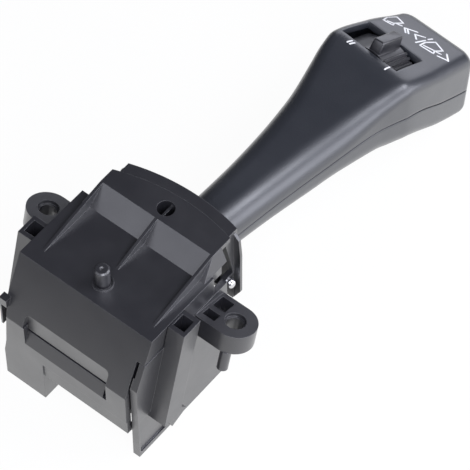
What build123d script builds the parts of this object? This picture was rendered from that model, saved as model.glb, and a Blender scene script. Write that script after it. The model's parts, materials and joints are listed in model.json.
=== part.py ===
from build123d import *
from math import cos, degrees, pi, radians, sin, sqrt, tan
import os

# Combination stalk switch, in millimetres. The origin is the centre of the locating peg's base
# on the top cover. +X runs towards the stalk, +Y to the left ear, +Z up along the peg.
# Top cover, a little wider on the left
cover_half_width = 30.6
cover_middle_y = 1.1
cover_wall = 2.2
crease_x = -8.4
rear_x = -20.4
slope_foot_z = -26.2
slope_run = 2.4
corner_cut_z = -18.8
corner_cut = 2.0
skirt_z = -10.0
ramp_foot_x = 22.0
ramp_overlap = 4.0
platform_rear_x = 29.8
platform_z = 6.7
platform_half_width = 26.0
cheek_flare = 2.4
cheek_wall = 2.0
cheek_front_x = 34.5
rib_thickness = 1.2
middle_rib_start_x = 7.4
side_rib_start_x = -3.0
recess_x = -17.7
recess_right_y = -17.0
recess_left_y = 22.0
recess_top_z = -20.3
recess_foot_z = -29.6
recess_wall = 1.6
recess_corner = 2.0
notch_gap = 0.5
notch_drop = 1.0
notch_ramp = 3.0
notch_floor_z = -36.2
notch_slot = 1.8
sight_hole_x = 35.2
sight_hole_radius = 3.4
sight_cup_wall = 1.2
sight_cup_foot_z = -4.0
sight_web = 1.0

# Side clip on the left
clip_x = -18.0
clip_width = 3.0
clip_top_z = -17.8
clip_head = 4.0
clip_foot_z = -34.5
clip_gap = 0.9
clip_arm = 0.8

# Locating peg
peg_radius = 2.85
peg_height = 9.0
peg_chamfer = 0.6
peg_groove = 0.6
peg_ring_radius = 4.0
peg_ring_height = 0.6
dimple_radius = 0.9
dimple_depth = 0.8

# Front frame, an arc in plan
frame_outer_radius = 88.5
frame_front_x = 46.9
frame_arc_y = -4.8
frame_middle_y = -0.85
frame_half_width = 24.25
frame_depth = 4.4
frame_wall = 2.3
frame_top_z = 6.3
frame_foot_z = -35.4
frame_sill = 2.0
frame_rim_height = 3.1
frame_side_wall = 2.2
frame_reach = 15.0
wing_width = 3.0
wing_depth = 2.0
wing_thickness = 1.2
wing_foot_z = -29.5
window_half_width = 15.8
window_clearance = 2.2
window_corner = 2.0
cheek_rear_x = 34.0
crescent_top_x = 36.8
crescent_middle_x = 40.0
crescent_middle_z = -7.0
crescent_foot_x = 42.0
crescent_foot_z = -18.7
pin_x = 39.6
left_side_shift = 2.4
pin_z = -22.2
pin_radius = 2.3
pin_boss_radius = 3.3
pin_proud = 0.4

# Lower housing
housing_half_width = 29.8
housing_wall = 2.4
floor_z = -65.7
rear_floor_z = -50.8
rear_step_x = -3.0
side_front_x = 33.0
side_front_z = -27.0
lip_x = 40.4
lip_gap = 0.1
chin_x = 36.0
chin_z = -52.0
front_foot_x = 30.0
flange_thickness = 3.0
flange_x = -18.1
flange_lap = 2.0
panel_length = 15.5
panel_height = 21.0
panel_z = -53.0
panel_depth = 0.7
latch_thickness = 2.2
latch_outline = ((-3.5, -46.0), (6.2, -59.5), (-2.0, -62.5), (-5.5, -52.0))
clear_rear_x = -16.0
clear_front_x = 32.0
clear_foot_z = -60.0
clear_depth = 6.0
lip_drop = 0.5
joint_gap = 0.2

# Screw ears and clip columns, leaning back from the vertical
lean_angle = 15.0
right_ear_x = 23.0
right_ear_y = 41.6
left_ear_x = 18.6
left_ear_y = 42.3
ear_top_z = -12.3
ear_radius = 8.4
ear_thickness = 8.4
ear_hole_radius = 3.25
ear_recess_radius = 4.05
ear_recess_depth = 1.6
ear_root_lap = 1.0
post_radius = 2.1
post_length = 9.1
post_back = 6.2
post_out = 2.4
ear_pocket_inset = 8.0
ear_pocket_width = 5.4
front_pocket_x = 3.4
front_pocket_length = 6.0
rear_pocket_x = -3.8
rear_pocket_length = 3.8
ear_pocket_depth = 6.0
column_top = 3.0
column_size = 8.8
column_inset = 0.8
column_length = 47.6
right_column_x = 4.7
right_column_y = 37.0
right_column_top_z = 0.0
left_column_x = 3.9
left_column_y = 39.0
left_column_top_z = -2.0
pocket_length = 5.4
pocket_width = 5.0
pocket_inset = 4.0
pocket_depth = 38.0
slot_width = 0.5
slot_depth = 1.6
slot_top_z = -8.0
slot_foot_z = -26.0

# Connector
wall_right_y = flange_thickness + 0.6 - housing_half_width
wall_left_y = 29.8
wall_thickness = 2.6
wall_foot_z = -50.4
tier_z = -43.0
tier_step = 0.5
socket_right_y = 13.6
socket_left_y = 32.4
socket_front_x = -3.4
socket_wall = 1.7
socket_roof_z = -51.2
socket_roof = 2.6
socket_corner = 0.8
terminal_columns = 6
terminal_pitch = 2.2
terminal_size = 0.9
terminal_length = 6.5
terminal_row_pitch = 5.0

# Lever, turned to one side in its resting notch
rest_angle = 5.6
axis_z = -20.3
axle_radius = 2.0
running_gap = 0.05
axle_top_z = -3.2
axle_foot_z = -38.5
hub_radius = 7.5
hub_top_z = -7.6
hub_foot_z = -33.0
end_float = 0.3
yoke_inner = 7.2
yoke_outer = 9.7
yoke_reach = 37.6
yoke_arm_top_z = -13.0
yoke_web = 2.5
yoke_front = 8.0
yoke_toe = 5.0
shield_gap = 1.4
shield_thickness = 2.0
shield_inner_radius = yoke_reach + shield_gap
shield_outer_radius = shield_inner_radius + shield_thickness
shield_half_angle = 20.0
shield_side_gap = 0.4
shield_lift_gap = 1.3
shield_foot_lap = 0.2
shield_top_z = -8.4
shield_foot_z = -32.8
shield_foot_height = 8.0
pull_s = yoke_reach - 3.6
pull_pin_radius = 1.5
core_start = 23.0
core_end = 96.0
core_width = 11.0
core_height = 13.0
core_corner = 1.5
core_pocket_length = 12.0
core_pocket_pitch = 16.0
core_pocket_rim = 2.0
core_pocket_depth = 4.0

# Stalk
shell_start = 50.6
shell_wall = 2.0
hump_s = 139.5
hump_z = 0.7
face_end_s = 175.0
end_skew = 8.0
seam_gap = 0.1
opening_rear_s = 142.6
opening_front_s = 157.4
opening_right_l = -10.6
opening_left_l = 16.2
opening_depth = 4.0
pillar_s = 114.0
pillar_radius = 4.0
screw_radius = 1.5
screw_head_radius = 2.8
screw_head_height = 2.0
screw_seat_z = -28.0
screw_length = 17.0
web_places = (shell_start + 1.0, 90.0)
web_thickness = 2.0
pillar_foot = 6.0
through_length = 60.0

# Interval wheel, whose axle follows the slope of the head's face
face_angle = 26.6
drum_radius = 13.6
drum_depth = 0.8
drum_length = 14.2
drum_wall = 2.4
drum_half_angle = 62.0
drum_hub_radius = 4.0
drum_centre_l = 2.8
drum_spoke = 3.0
wheel_axle_radius = 1.5
wheel_plate_gap = 0.3
wheel_plate = 2.0
tab_width = 5.4
tab_height = 4.8
grip_rib = 0.8
grip_rib_start = 24.0
grip_rib_step = 8.0
grip_rib_count = 4

# Circuit board and contacts
board_z = -37.0
board_thickness = 1.6
board_rear_x = -12.0
board_front_x = 27.0
board_side_gap = 2.4
board_half_width = housing_half_width - housing_wall - board_side_gap
rail_reach = 4.0
rail_height = 2.0
boss_radius = 5.0
board_hole_gap = 0.5
slider_x = 17.0
slider_length = 9.0
slider_width = 12.0
slider_foot_z = -36.4
slider_top_z = -33.6
slider_slot_length = 5.6
drive_pin_radius = 1.4
drive_pin_gap = 0.3
drive_pin_float = 0.8
guide_gap = 0.3
guide_wall = 1.2
guide_length = 21.0
guide_middle_y = 1.5
guide_drop = 0.6
brush_thickness = 0.3
brush_width = 1.2
brush_offset = 3.9
brush_inset = 0.5

# Detent
detent_z = -26.0
track_radius = 13.0
track_rear_x = -15.8
track_half_width = 8.0
track_height = 8.0
track_ledge = 3.0
notch_angles = (-6.0, 0.0, 5.5, 11.0, 16.0)
notch_radius = 1.2
plunger_radius = 1.8
plunger_tip = 12.6
plunger_tail = 5.4
plunger_nose = 1.5
plunger_bore_radius = 1.3
plunger_bore = 3.4
plunger_travel = 1.2
barrel_bottom = 2.8
barrel_end = 10.4
barrel_wall = 1.4
spring_wire = 0.3
detent_coil_radius = 0.85
detent_wire = 0.2
detent_turns = 5

# Wash plunger
wash_s = 25.0
wash_radius = 1.7
wash_head_radius = 3.0
wash_head_height = 1.2
wash_gap = 0.3
wash_recess = 0.1
wash_coil_gap = 0.7
wash_turns = 2.5


def slope_x(z):
    """X of the rear slope's outer face at a height."""
    share = z / slope_foot_z
    return crease_x + (rear_x - crease_x) * share


def lever_point(s, across, z):
    """A point given along the lever, across it and up, in the part's frame."""
    turn = radians(rest_angle)
    return (s * cos(turn) + across * sin(turn), -s * sin(turn) + across * cos(turn), z)


lever_along = lever_point(1, 0, 0)
lever_across = lever_point(0, 1, 0)
lever_back = lever_point(0, -1, 0)


def lever_plan(z):
    """Plane seen from above: x along the lever, y across it."""
    return Plane(origin=(0, 0, z), x_dir=lever_along, z_dir=(0, 0, 1))


def lever_side(across=0.0):
    """Plane seen from the side: x along the lever, y up."""
    return Plane(origin=lever_point(0, across, 0), x_dir=lever_along, z_dir=lever_back)


def lever_section(s, skew=0.0):
    """Plane square to the lever, or turned about the vertical: x across it, y up."""
    turn = radians(skew)
    across = lever_point(-sin(turn), cos(turn), 0)
    normal = lever_point(cos(turn), sin(turn), 0)
    return Plane(origin=lever_point(s, 0, 0), x_dir=across, z_dir=normal)


def coil(radius, height, turns, wire, place):
    """Helical spring along the plane's normal."""
    with BuildPart() as spring:
        with BuildLine():
            path = Helix(height / turns, height, radius)
        with BuildSketch(Plane(origin=path @ 0, z_dir=path % 0)):
            Circle(wire)
        sweep(is_frenet=True)
    return place * spring.part


def finish(block, name):
    """Label a piece and write its file."""
    block.part.label = name
    export_step(block.part, "parts/" + name + ".step")


os.makedirs("parts", exist_ok=True)
frame_centre_x = frame_front_x - frame_outer_radius
frame_inner_radius = frame_outer_radius - frame_depth
ear_tilt = radians(lean_angle)
lean_up = (sin(ear_tilt), 0, cos(ear_tilt))
lean_along = (cos(ear_tilt), 0, -sin(ear_tilt))


# Upper cover
cover_plane = Plane.XZ.offset(-cover_middle_y)
cover_left_y = cover_middle_y + cover_half_width
cover_step_x = ramp_foot_x + ramp_overlap
platform_front_x = frame_centre_x + frame_inner_radius
with BuildPart() as upper_cover:
    with BuildSketch(cover_plane):
        with BuildLine():
            Polyline(
                (slope_x(skirt_z), skirt_z),
                (crease_x, 0),
                (cover_step_x, 0),
                (cover_step_x, skirt_z),
                close=True,
            )
        make_face()
    extrude(amount=cover_half_width, both=True)
    with BuildSketch(Plane.XZ):
        with BuildLine():
            Polyline(
                (ramp_foot_x, skirt_z),
                (ramp_foot_x, 0),
                (platform_rear_x, platform_z),
                (platform_front_x, platform_z),
                (platform_front_x, skirt_z),
                close=True,
            )
        make_face()
    extrude(amount=platform_half_width, both=True)
    # Flared foot of the platform's cheeks
    for side in (-1, 1):
        with BuildSketch(Plane.YZ.offset(ramp_foot_x)):
            with BuildLine():
                Polyline(
                    (side * (platform_half_width - 1), 0),
                    (side * (platform_half_width + cheek_flare), 0),
                    (side * platform_half_width, platform_z),
                    (side * (platform_half_width - 1), platform_z),
                    close=True,
                )
            make_face()
        extrude(amount=cheek_front_x - ramp_foot_x)
    with BuildSketch(Plane.XZ):
        with BuildLine():
            Polyline(
                (ramp_foot_x - 1, 0),
                (ramp_foot_x, 0),
                (platform_rear_x, platform_z),
                (platform_rear_x, platform_z + 1),
                (ramp_foot_x - 1, platform_z + 1),
                close=True,
            )
        make_face()
    extrude(amount=cover_half_width + 1, both=True, mode=Mode.SUBTRACT)
    # Hollow the floor part and the platform part from below
    with BuildSketch(cover_plane):
        with BuildLine():
            Polyline(
                (slope_x(skirt_z) + slope_run, skirt_z),
                (crease_x + slope_run * 0.7, -cover_wall),
                (cover_step_x - cover_wall, -cover_wall),
                (cover_step_x - cover_wall, skirt_z),
                close=True,
            )
        make_face()
    extrude(amount=cover_half_width - cheek_wall, both=True, mode=Mode.SUBTRACT)
    with BuildSketch(Plane.XZ):
        with BuildLine():
            Polyline(
                (ramp_foot_x - cover_wall, skirt_z),
                (ramp_foot_x - cover_wall, -cover_wall),
                (ramp_foot_x + 0.9, -cover_wall),
                (platform_rear_x + 0.9, platform_z - cover_wall),
                (platform_front_x + 1, platform_z - cover_wall),
                (platform_front_x + 1, skirt_z),
                close=True,
            )
        make_face()
    extrude(amount=platform_half_width - cheek_wall, both=True, mode=Mode.SUBTRACT)
    # Curved front edge of the platform, which meets the front frame
    with BuildSketch(Plane.XY.offset(skirt_z)):
        with Locations((frame_centre_x, frame_arc_y)):
            Circle(frame_outer_radius + 10)
            Circle(frame_inner_radius - joint_gap, mode=Mode.SUBTRACT)
    extrude(amount=platform_z - skirt_z + 1, mode=Mode.SUBTRACT)
    # Cheeks stop short of the platform's overhang
    with BuildSketch(Plane.XZ):
        with Locations((cheek_front_x, skirt_z)):
            cheek_cut = platform_front_x - cheek_front_x + 1
            Rectangle(cheek_cut, platform_z - cover_wall - skirt_z, align=(Align.MIN, Align.MIN))
    extrude(amount=platform_half_width + 1, both=True, mode=Mode.SUBTRACT)
    # Rear slope, a plate down to the rear wall, cut at its left corner
    with BuildSketch(Plane.XZ.offset(-wall_right_y)):
        with BuildLine():
            Polyline(
                (rear_x, slope_foot_z),
                (slope_x(skirt_z), skirt_z),
                (slope_x(skirt_z) + slope_run, skirt_z),
                (rear_x + slope_run, slope_foot_z),
                close=True,
            )
        make_face()
    extrude(amount=wall_right_y - cover_left_y)
    with BuildSketch(Plane.YZ.offset(rear_x - 1)):
        with BuildLine():
            Polyline(
                (cover_left_y, corner_cut_z),
                (cover_left_y - corner_cut, slope_foot_z),
                (cover_left_y - corner_cut, slope_foot_z - 1),
                (cover_left_y + 1, slope_foot_z - 1),
                (cover_left_y + 1, corner_cut_z),
                close=True,
            )
        make_face()
    extrude(amount=crease_x - rear_x, mode=Mode.SUBTRACT)
    # Recess in the slope with its upright wall
    recess_width = recess_left_y - recess_right_y
    recess_middle_y = (recess_left_y + recess_right_y) / 2
    recess_height = recess_top_z - slope_foot_z
    with BuildSketch(Plane.YZ.offset(recess_x)):
        with Locations((recess_middle_y, slope_foot_z - recess_height / 2)):
            RectangleRounded(recess_width, 3 * recess_height, recess_corner)
    extrude(amount=rear_x - recess_x - 2, mode=Mode.SUBTRACT)
    with BuildSketch(Plane.YZ.offset(recess_x)):
        with Locations((recess_middle_y, recess_top_z)):
            Rectangle(recess_width + 1, recess_top_z - recess_foot_z, align=(Align.CENTER, Align.MAX))
    extrude(amount=recess_wall)
    # Ribs that fall from the platform to the floor
    for rib_start, rib_y in (
        (middle_rib_start_x, 0.0),
        (side_rib_start_x, platform_half_width - rib_thickness / 2),
        (side_rib_start_x, rib_thickness / 2 - platform_half_width),
    ):
        with BuildSketch(Plane.XZ.offset(-rib_y)):
            with BuildLine():
                Polyline(
                    (rib_start, 0),
                    (platform_rear_x, platform_z),
                    (platform_rear_x, 0),
                    close=True,
                )
            make_face()
        extrude(amount=rib_thickness / 2, both=True)
    # Clip on the left side: a head on the slope's plate and an arm hanging from it
    with BuildSketch(Plane.XY.offset(clip_top_z)):
        with Locations((clip_x, cover_left_y)):
            Rectangle(clip_width, 2 * (clip_gap + clip_arm))
    extrude(amount=-clip_head)
    with BuildSketch(Plane.XY.offset(clip_top_z)):
        with Locations((clip_x, cover_left_y + clip_gap)):
            Rectangle(clip_width, clip_arm, align=(Align.CENTER, Align.MIN))
    extrude(amount=clip_foot_z - clip_top_z)
    # Sight hole over a closed cup with a web across it
    with BuildSketch(Plane.XY.offset(sight_cup_foot_z)):
        with Locations((sight_hole_x, 0)):
            Circle(sight_hole_radius + sight_cup_wall)
    extrude(amount=platform_z - cover_wall / 2 - sight_cup_foot_z)
    with BuildSketch(Plane.XY.offset(sight_cup_foot_z + sight_cup_wall)):
        with Locations((sight_hole_x, 0)):
            Circle(sight_hole_radius)
    extrude(amount=platform_z - sight_cup_foot_z, mode=Mode.SUBTRACT)
    with BuildSketch(Plane.XY.offset(sight_cup_foot_z)):
        with Locations((sight_hole_x, 0)):
            Rectangle(2 * (sight_hole_radius + sight_cup_wall / 2), sight_web)
    extrude(amount=platform_z - cover_wall - sight_cup_foot_z)
    # Peg in its grooved ring
    with BuildSketch(Plane.XY):
        Circle(peg_ring_radius)
        Circle(peg_radius + peg_groove, mode=Mode.SUBTRACT)
    extrude(amount=peg_ring_height)
    with BuildSketch(Plane.XY):
        Circle(peg_radius)
    extrude(amount=peg_height)
    peg_top = upper_cover.edges().filter_by(GeomType.CIRCLE).sort_by(Axis.Z)[-1]
    chamfer(peg_top, peg_chamfer)
    with Locations((0, 0, peg_height)):
        CounterSinkHole(dimple_radius / 2, dimple_radius, depth=dimple_depth, counter_sink_angle=90)
    # Boss under the floor that holds the rotor's axle
    with BuildSketch(Plane.XY.offset(-cover_wall)):
        Circle(boss_radius)
    extrude(amount=hub_top_z + end_float + cover_wall)
    with BuildSketch(Plane.XY.offset(hub_top_z)):
        Circle(axle_radius)
    extrude(amount=axle_top_z - hub_top_z, mode=Mode.SUBTRACT)
finish(upper_cover, "upper_cover")


# Front frame with the lever's window and its side cheeks
frame_height = frame_top_z - frame_foot_z
with BuildPart() as front_frame:
    with BuildSketch(Plane.XY.offset(frame_foot_z)):
        with Locations((frame_centre_x, frame_arc_y)):
            Circle(frame_outer_radius)
        with Locations((cheek_rear_x, frame_middle_y)):
            Rectangle(
                frame_reach,
                2 * frame_half_width,
                align=(Align.MIN, Align.CENTER),
                mode=Mode.INTERSECT,
            )
    extrude(amount=frame_height)
    # Inside of the rim, then the thinner wall below it
    for radius, low_z, high_z in (
        (frame_inner_radius, frame_foot_z - 1, frame_top_z + 1),
        (frame_outer_radius - frame_wall, frame_foot_z + frame_sill, frame_top_z - frame_rim_height),
    ):
        with BuildSketch(Plane.XY.offset(low_z)):
            with Locations((frame_centre_x, frame_arc_y)):
                Circle(radius)
            with Locations((cheek_rear_x - 1, frame_middle_y)):
                Rectangle(
                    frame_reach + 1,
                    2 * (frame_half_width - frame_side_wall),
                    align=(Align.MIN, Align.CENTER),
                    mode=Mode.INTERSECT,
                )
        extrude(amount=high_z - low_z, mode=Mode.SUBTRACT)
    # Room for the cover's platform
    with BuildSketch(Plane.XY.offset(platform_z - cover_wall - joint_gap)):
        with Locations((frame_centre_x, frame_arc_y)):
            Circle(frame_inner_radius)
    extrude(amount=cover_wall + joint_gap + 1, mode=Mode.SUBTRACT)
    # Crescent edge of the side cheeks
    for side, shift in ((-1, 0.0), (1, left_side_shift)):
        with BuildSketch(Plane.XZ.offset(-frame_middle_y)):
            with BuildLine():
                high = (crescent_top_x - shift, frame_top_z + 0.01)
                middle = (crescent_middle_x - shift, crescent_middle_z)
                low = (crescent_foot_x - shift, crescent_foot_z)
                Polyline(
                    high,
                    (cheek_rear_x - 1, frame_top_z + 0.01),
                    (cheek_rear_x - 1, frame_foot_z - 1),
                    (crescent_foot_x - shift, frame_foot_z - 1),
                    low,
                )
                ThreePointArc(low, middle, high)
            make_face()
        extrude(amount=-side * (frame_half_width + 1), mode=Mode.SUBTRACT)
    # Window for the lever
    with BuildSketch(Plane.YZ.offset(frame_front_x - 2 * frame_depth)):
        with Locations((0, axis_z)):
            RectangleRounded(2 * window_half_width, core_height + 2 * window_clearance, window_corner)
    extrude(amount=3 * frame_depth, mode=Mode.SUBTRACT)
    # Wings beside the front wall, which widen below the rim
    for side in (-1, 1):
        side_y = frame_middle_y + side * frame_half_width
        wing_x = frame_centre_x + sqrt(frame_outer_radius**2 - (side_y - frame_arc_y) ** 2) - wing_depth
        with BuildSketch(Plane.YZ.offset(wing_x)):
            with BuildLine():
                Polyline(
                    (side_y - side, frame_top_z - frame_rim_height / 2),
                    (side_y, frame_top_z - frame_rim_height / 2),
                    (side_y + side * 0.75 * wing_width, frame_top_z - 1.3 * frame_rim_height),
                    (side_y + side * wing_width, crescent_middle_z),
                    (side_y + side * wing_width, wing_foot_z),
                    (side_y, wing_foot_z - 2 * wing_width),
                    (side_y - side, wing_foot_z - 2 * wing_width),
                    close=True,
                )
            make_face()
        extrude(amount=wing_thickness)
    # Bosses for the side pins
    for side, shift in ((-1, 0.0), (1, left_side_shift)):
        boss_y = frame_middle_y + side * (frame_half_width - frame_side_wall)
        with BuildSketch(Plane.XZ.offset(-boss_y)):
            with Locations((pin_x - shift, pin_z)):
                Circle(pin_boss_radius)
                Rectangle(pin_boss_radius, 2 * pin_boss_radius, align=(Align.MIN, Align.CENTER))
                Circle(pin_radius, mode=Mode.SUBTRACT)
        extrude(amount=-side * frame_side_wall)
finish(front_frame, "front_frame")


# Domed pins in the frame's side bosses
with BuildPart() as frame_pins:
    for side, shift in ((-1, 0.0), (1, left_side_shift)):
        boss_y = frame_middle_y + side * (frame_half_width - frame_side_wall)
        dome_y = frame_middle_y + side * (frame_half_width + pin_proud)
        with BuildSketch(Plane.XZ.offset(-boss_y)):
            with Locations((pin_x - shift, pin_z)):
                Circle(pin_radius)
        extrude(amount=-side * (frame_side_wall + pin_proud))
        with BuildSketch(Plane(origin=(pin_x - shift, dome_y, pin_z), z_dir=(0, 0, 1))):
            with BuildLine():
                Line((0, 0), (pin_radius, 0))
                ThreePointArc(
                    (pin_radius, 0),
                    (pin_radius * cos(pi / 4), side * pin_radius * sin(pi / 4)),
                    (0, side * pin_radius),
                )
                Line((0, side * pin_radius), (0, 0))
            make_face()
        revolve(axis=Axis((pin_x - shift, dome_y, pin_z), (0, 1, 0)))
finish(frame_pins, "frame_pins")


# Lower housing
lip_z = frame_foot_z - lip_gap
housing_top_z = skirt_z - joint_gap
housing_rear_x = rear_x + wall_thickness + joint_gap
with BuildPart() as lower_housing:
    with BuildSketch(Plane.XZ):
        with BuildLine():
            Polyline(
                (slope_x(skirt_z) + slope_run + joint_gap, housing_top_z),
                (side_front_x, housing_top_z),
                (side_front_x, side_front_z),
                (lip_x, lip_z),
                (chin_x, chin_z),
                (front_foot_x, floor_z),
                (rear_step_x, floor_z),
                (rear_step_x, rear_floor_z),
                (housing_rear_x, rear_floor_z),
                (housing_rear_x, slope_foot_z),
                close=True,
            )
        make_face()
    extrude(amount=housing_half_width, both=True)
    with BuildSketch(Plane.XZ):
        with BuildLine():
            Polyline(
                (rear_x, skirt_z + 1),
                (lip_x + 5, skirt_z + 1),
                (lip_x + 5, lip_z - lip_drop),
                (lip_x - housing_wall, lip_z - lip_drop),
                (chin_x - housing_wall, chin_z + housing_wall / 4),
                (front_foot_x - housing_wall, floor_z + housing_wall),
                (rear_step_x + housing_wall, floor_z + housing_wall),
                (rear_step_x + housing_wall, rear_floor_z + housing_wall),
                (rear_x, rear_floor_z + housing_wall),
                close=True,
            )
        make_face()
    extrude(amount=housing_half_width - housing_wall, both=True, mode=Mode.SUBTRACT)
    # Side flange at the rear right, with its shallow panel
    with BuildSketch(Plane.XZ.offset(housing_half_width)):
        with BuildLine():
            Polyline(
                (flange_x, floor_z),
                (flange_x, slope_foot_z * (flange_x - crease_x) / (rear_x - crease_x)),
                (slope_x(housing_top_z), housing_top_z),
                (rear_step_x + flange_lap, housing_top_z),
                (rear_step_x + flange_lap, floor_z),
                close=True,
            )
        make_face()
    extrude(amount=-flange_thickness)
    with BuildSketch(Plane.XZ.offset(housing_half_width)):
        with Locations(((flange_x + rear_step_x + flange_lap) / 2, panel_z)):
            RectangleRounded(panel_length, panel_height, panel_depth * 2)
    extrude(amount=-panel_depth, mode=Mode.SUBTRACT)
    # Latch tongue under the column
    with BuildSketch(Plane.XZ.offset(housing_half_width)):
        with BuildLine():
            Polyline(*latch_outline, close=True)
        make_face()
    extrude(amount=latch_thickness)
    # Clip columns with square pockets
    for side, column_x, column_y, top_z in (
        (-1, right_column_x, right_column_y, right_column_top_z),
        (1, left_column_x, left_column_y, left_column_top_z),
    ):
        column_plane = Plane(origin=(column_x, side * column_y, 0), x_dir=lean_along, z_dir=lean_up)
        depth_y = column_y - housing_half_width + column_inset
        with BuildSketch(column_plane.offset(column_top)):
            with Locations((0, -side * depth_y / 2)):
                Rectangle(column_size, depth_y)
        extrude(amount=-(column_length + column_top))
        with BuildSketch(column_plane.offset(column_top)):
            with Locations((0, -side * pocket_inset)):
                Rectangle(pocket_length, pocket_width)
        extrude(amount=-(pocket_depth + column_top), mode=Mode.SUBTRACT)
        with BuildSketch(Plane.XY.offset(top_z)):
            with Locations((column_x, side * column_y)):
                Rectangle(3 * column_size, 2 * depth_y)
        extrude(amount=3 * column_top, mode=Mode.SUBTRACT)
        # Slot between the column and the side wall
        with BuildSketch(column_plane.offset(slot_top_z)):
            with Locations(((column_size + slot_width) / 2, -side * (column_y - housing_half_width))):
                Rectangle(slot_width, 2 * slot_depth)
        extrude(amount=slot_foot_z - slot_top_z, mode=Mode.SUBTRACT)
    # Keep the columns clear of the cover
    with BuildSketch(Plane.XY.offset(housing_top_z)):
        with Locations((0, cover_middle_y)):
            Rectangle(2 * (cover_step_x + joint_gap), 2 * (cover_half_width + joint_gap))
    extrude(amount=-2 * skirt_z, mode=Mode.SUBTRACT)
    # Screw ears with their posts and pockets
    for side, ear_x, ear_y in ((-1, right_ear_x, right_ear_y), (1, left_ear_x, left_ear_y)):
        ear_plane = Plane(origin=(ear_x, side * ear_y, ear_top_z), x_dir=lean_along, z_dir=lean_up)
        root = ear_y - housing_half_width + ear_root_lap
        with BuildSketch(ear_plane):
            Circle(ear_radius)
            with Locations((0, -side * root / 2)):
                Rectangle(2 * ear_radius, root)
        extrude(amount=-ear_thickness)
        with BuildSketch(ear_plane.offset(-ear_thickness)):
            with Locations((-post_back, side * post_out)):
                Circle(post_radius)
        extrude(amount=-post_length)
        with BuildSketch(ear_plane):
            Circle(ear_hole_radius)
        extrude(amount=-ear_thickness - 1, mode=Mode.SUBTRACT)
        with BuildSketch(ear_plane):
            Circle(ear_recess_radius)
        extrude(amount=-ear_recess_depth, mode=Mode.SUBTRACT)
        with BuildSketch(ear_plane):
            with Locations((front_pocket_x, -side * ear_pocket_inset)):
                Rectangle(front_pocket_length, ear_pocket_width)
            with Locations((rear_pocket_x, -side * ear_pocket_inset)):
                Rectangle(rear_pocket_length, ear_pocket_width)
        extrude(amount=-ear_pocket_depth, mode=Mode.SUBTRACT)
        # Keep the inside of the box clear of the ear and column roots
        with BuildSketch(Plane.XZ.offset(side * (housing_half_width - housing_wall))):
            with Locations((clear_rear_x, clear_foot_z)):
                clear_height = skirt_z - clear_foot_z
                Rectangle(clear_front_x - clear_rear_x, clear_height, align=(Align.MIN, Align.MIN))
        extrude(amount=-side * clear_depth, mode=Mode.SUBTRACT)
    # Axle boss and board rails
    with BuildSketch(Plane.XY.offset(floor_z + 1)):
        Circle(boss_radius)
    extrude(amount=hub_foot_z - end_float - floor_z - 1)
    with BuildSketch(Plane.XY.offset(hub_foot_z + 1)):
        Circle(axle_radius)
    extrude(amount=axle_foot_z - hub_foot_z - 1, mode=Mode.SUBTRACT)
    rail_top = board_z - board_thickness
    for side in (-1, 1):
        with BuildSketch(Plane.XZ.offset(side * (housing_half_width - housing_wall))):
            with Locations(((board_rear_x + board_front_x) / 2, rail_top)):
                Rectangle(board_front_x - board_rear_x, rail_height, align=(Align.CENTER, Align.MAX))
        extrude(amount=-side * rail_reach)
    # Ledge that carries the detent track
    with BuildSketch(Plane.XY.offset(rear_floor_z + 1)):
        with Locations((track_rear_x, 0)):
            Rectangle(track_ledge, 2 * track_half_width, align=(Align.MIN, Align.CENTER))
    extrude(amount=detent_z - track_height / 2 - rear_floor_z - 1)
finish(lower_housing, "lower_housing")


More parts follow.
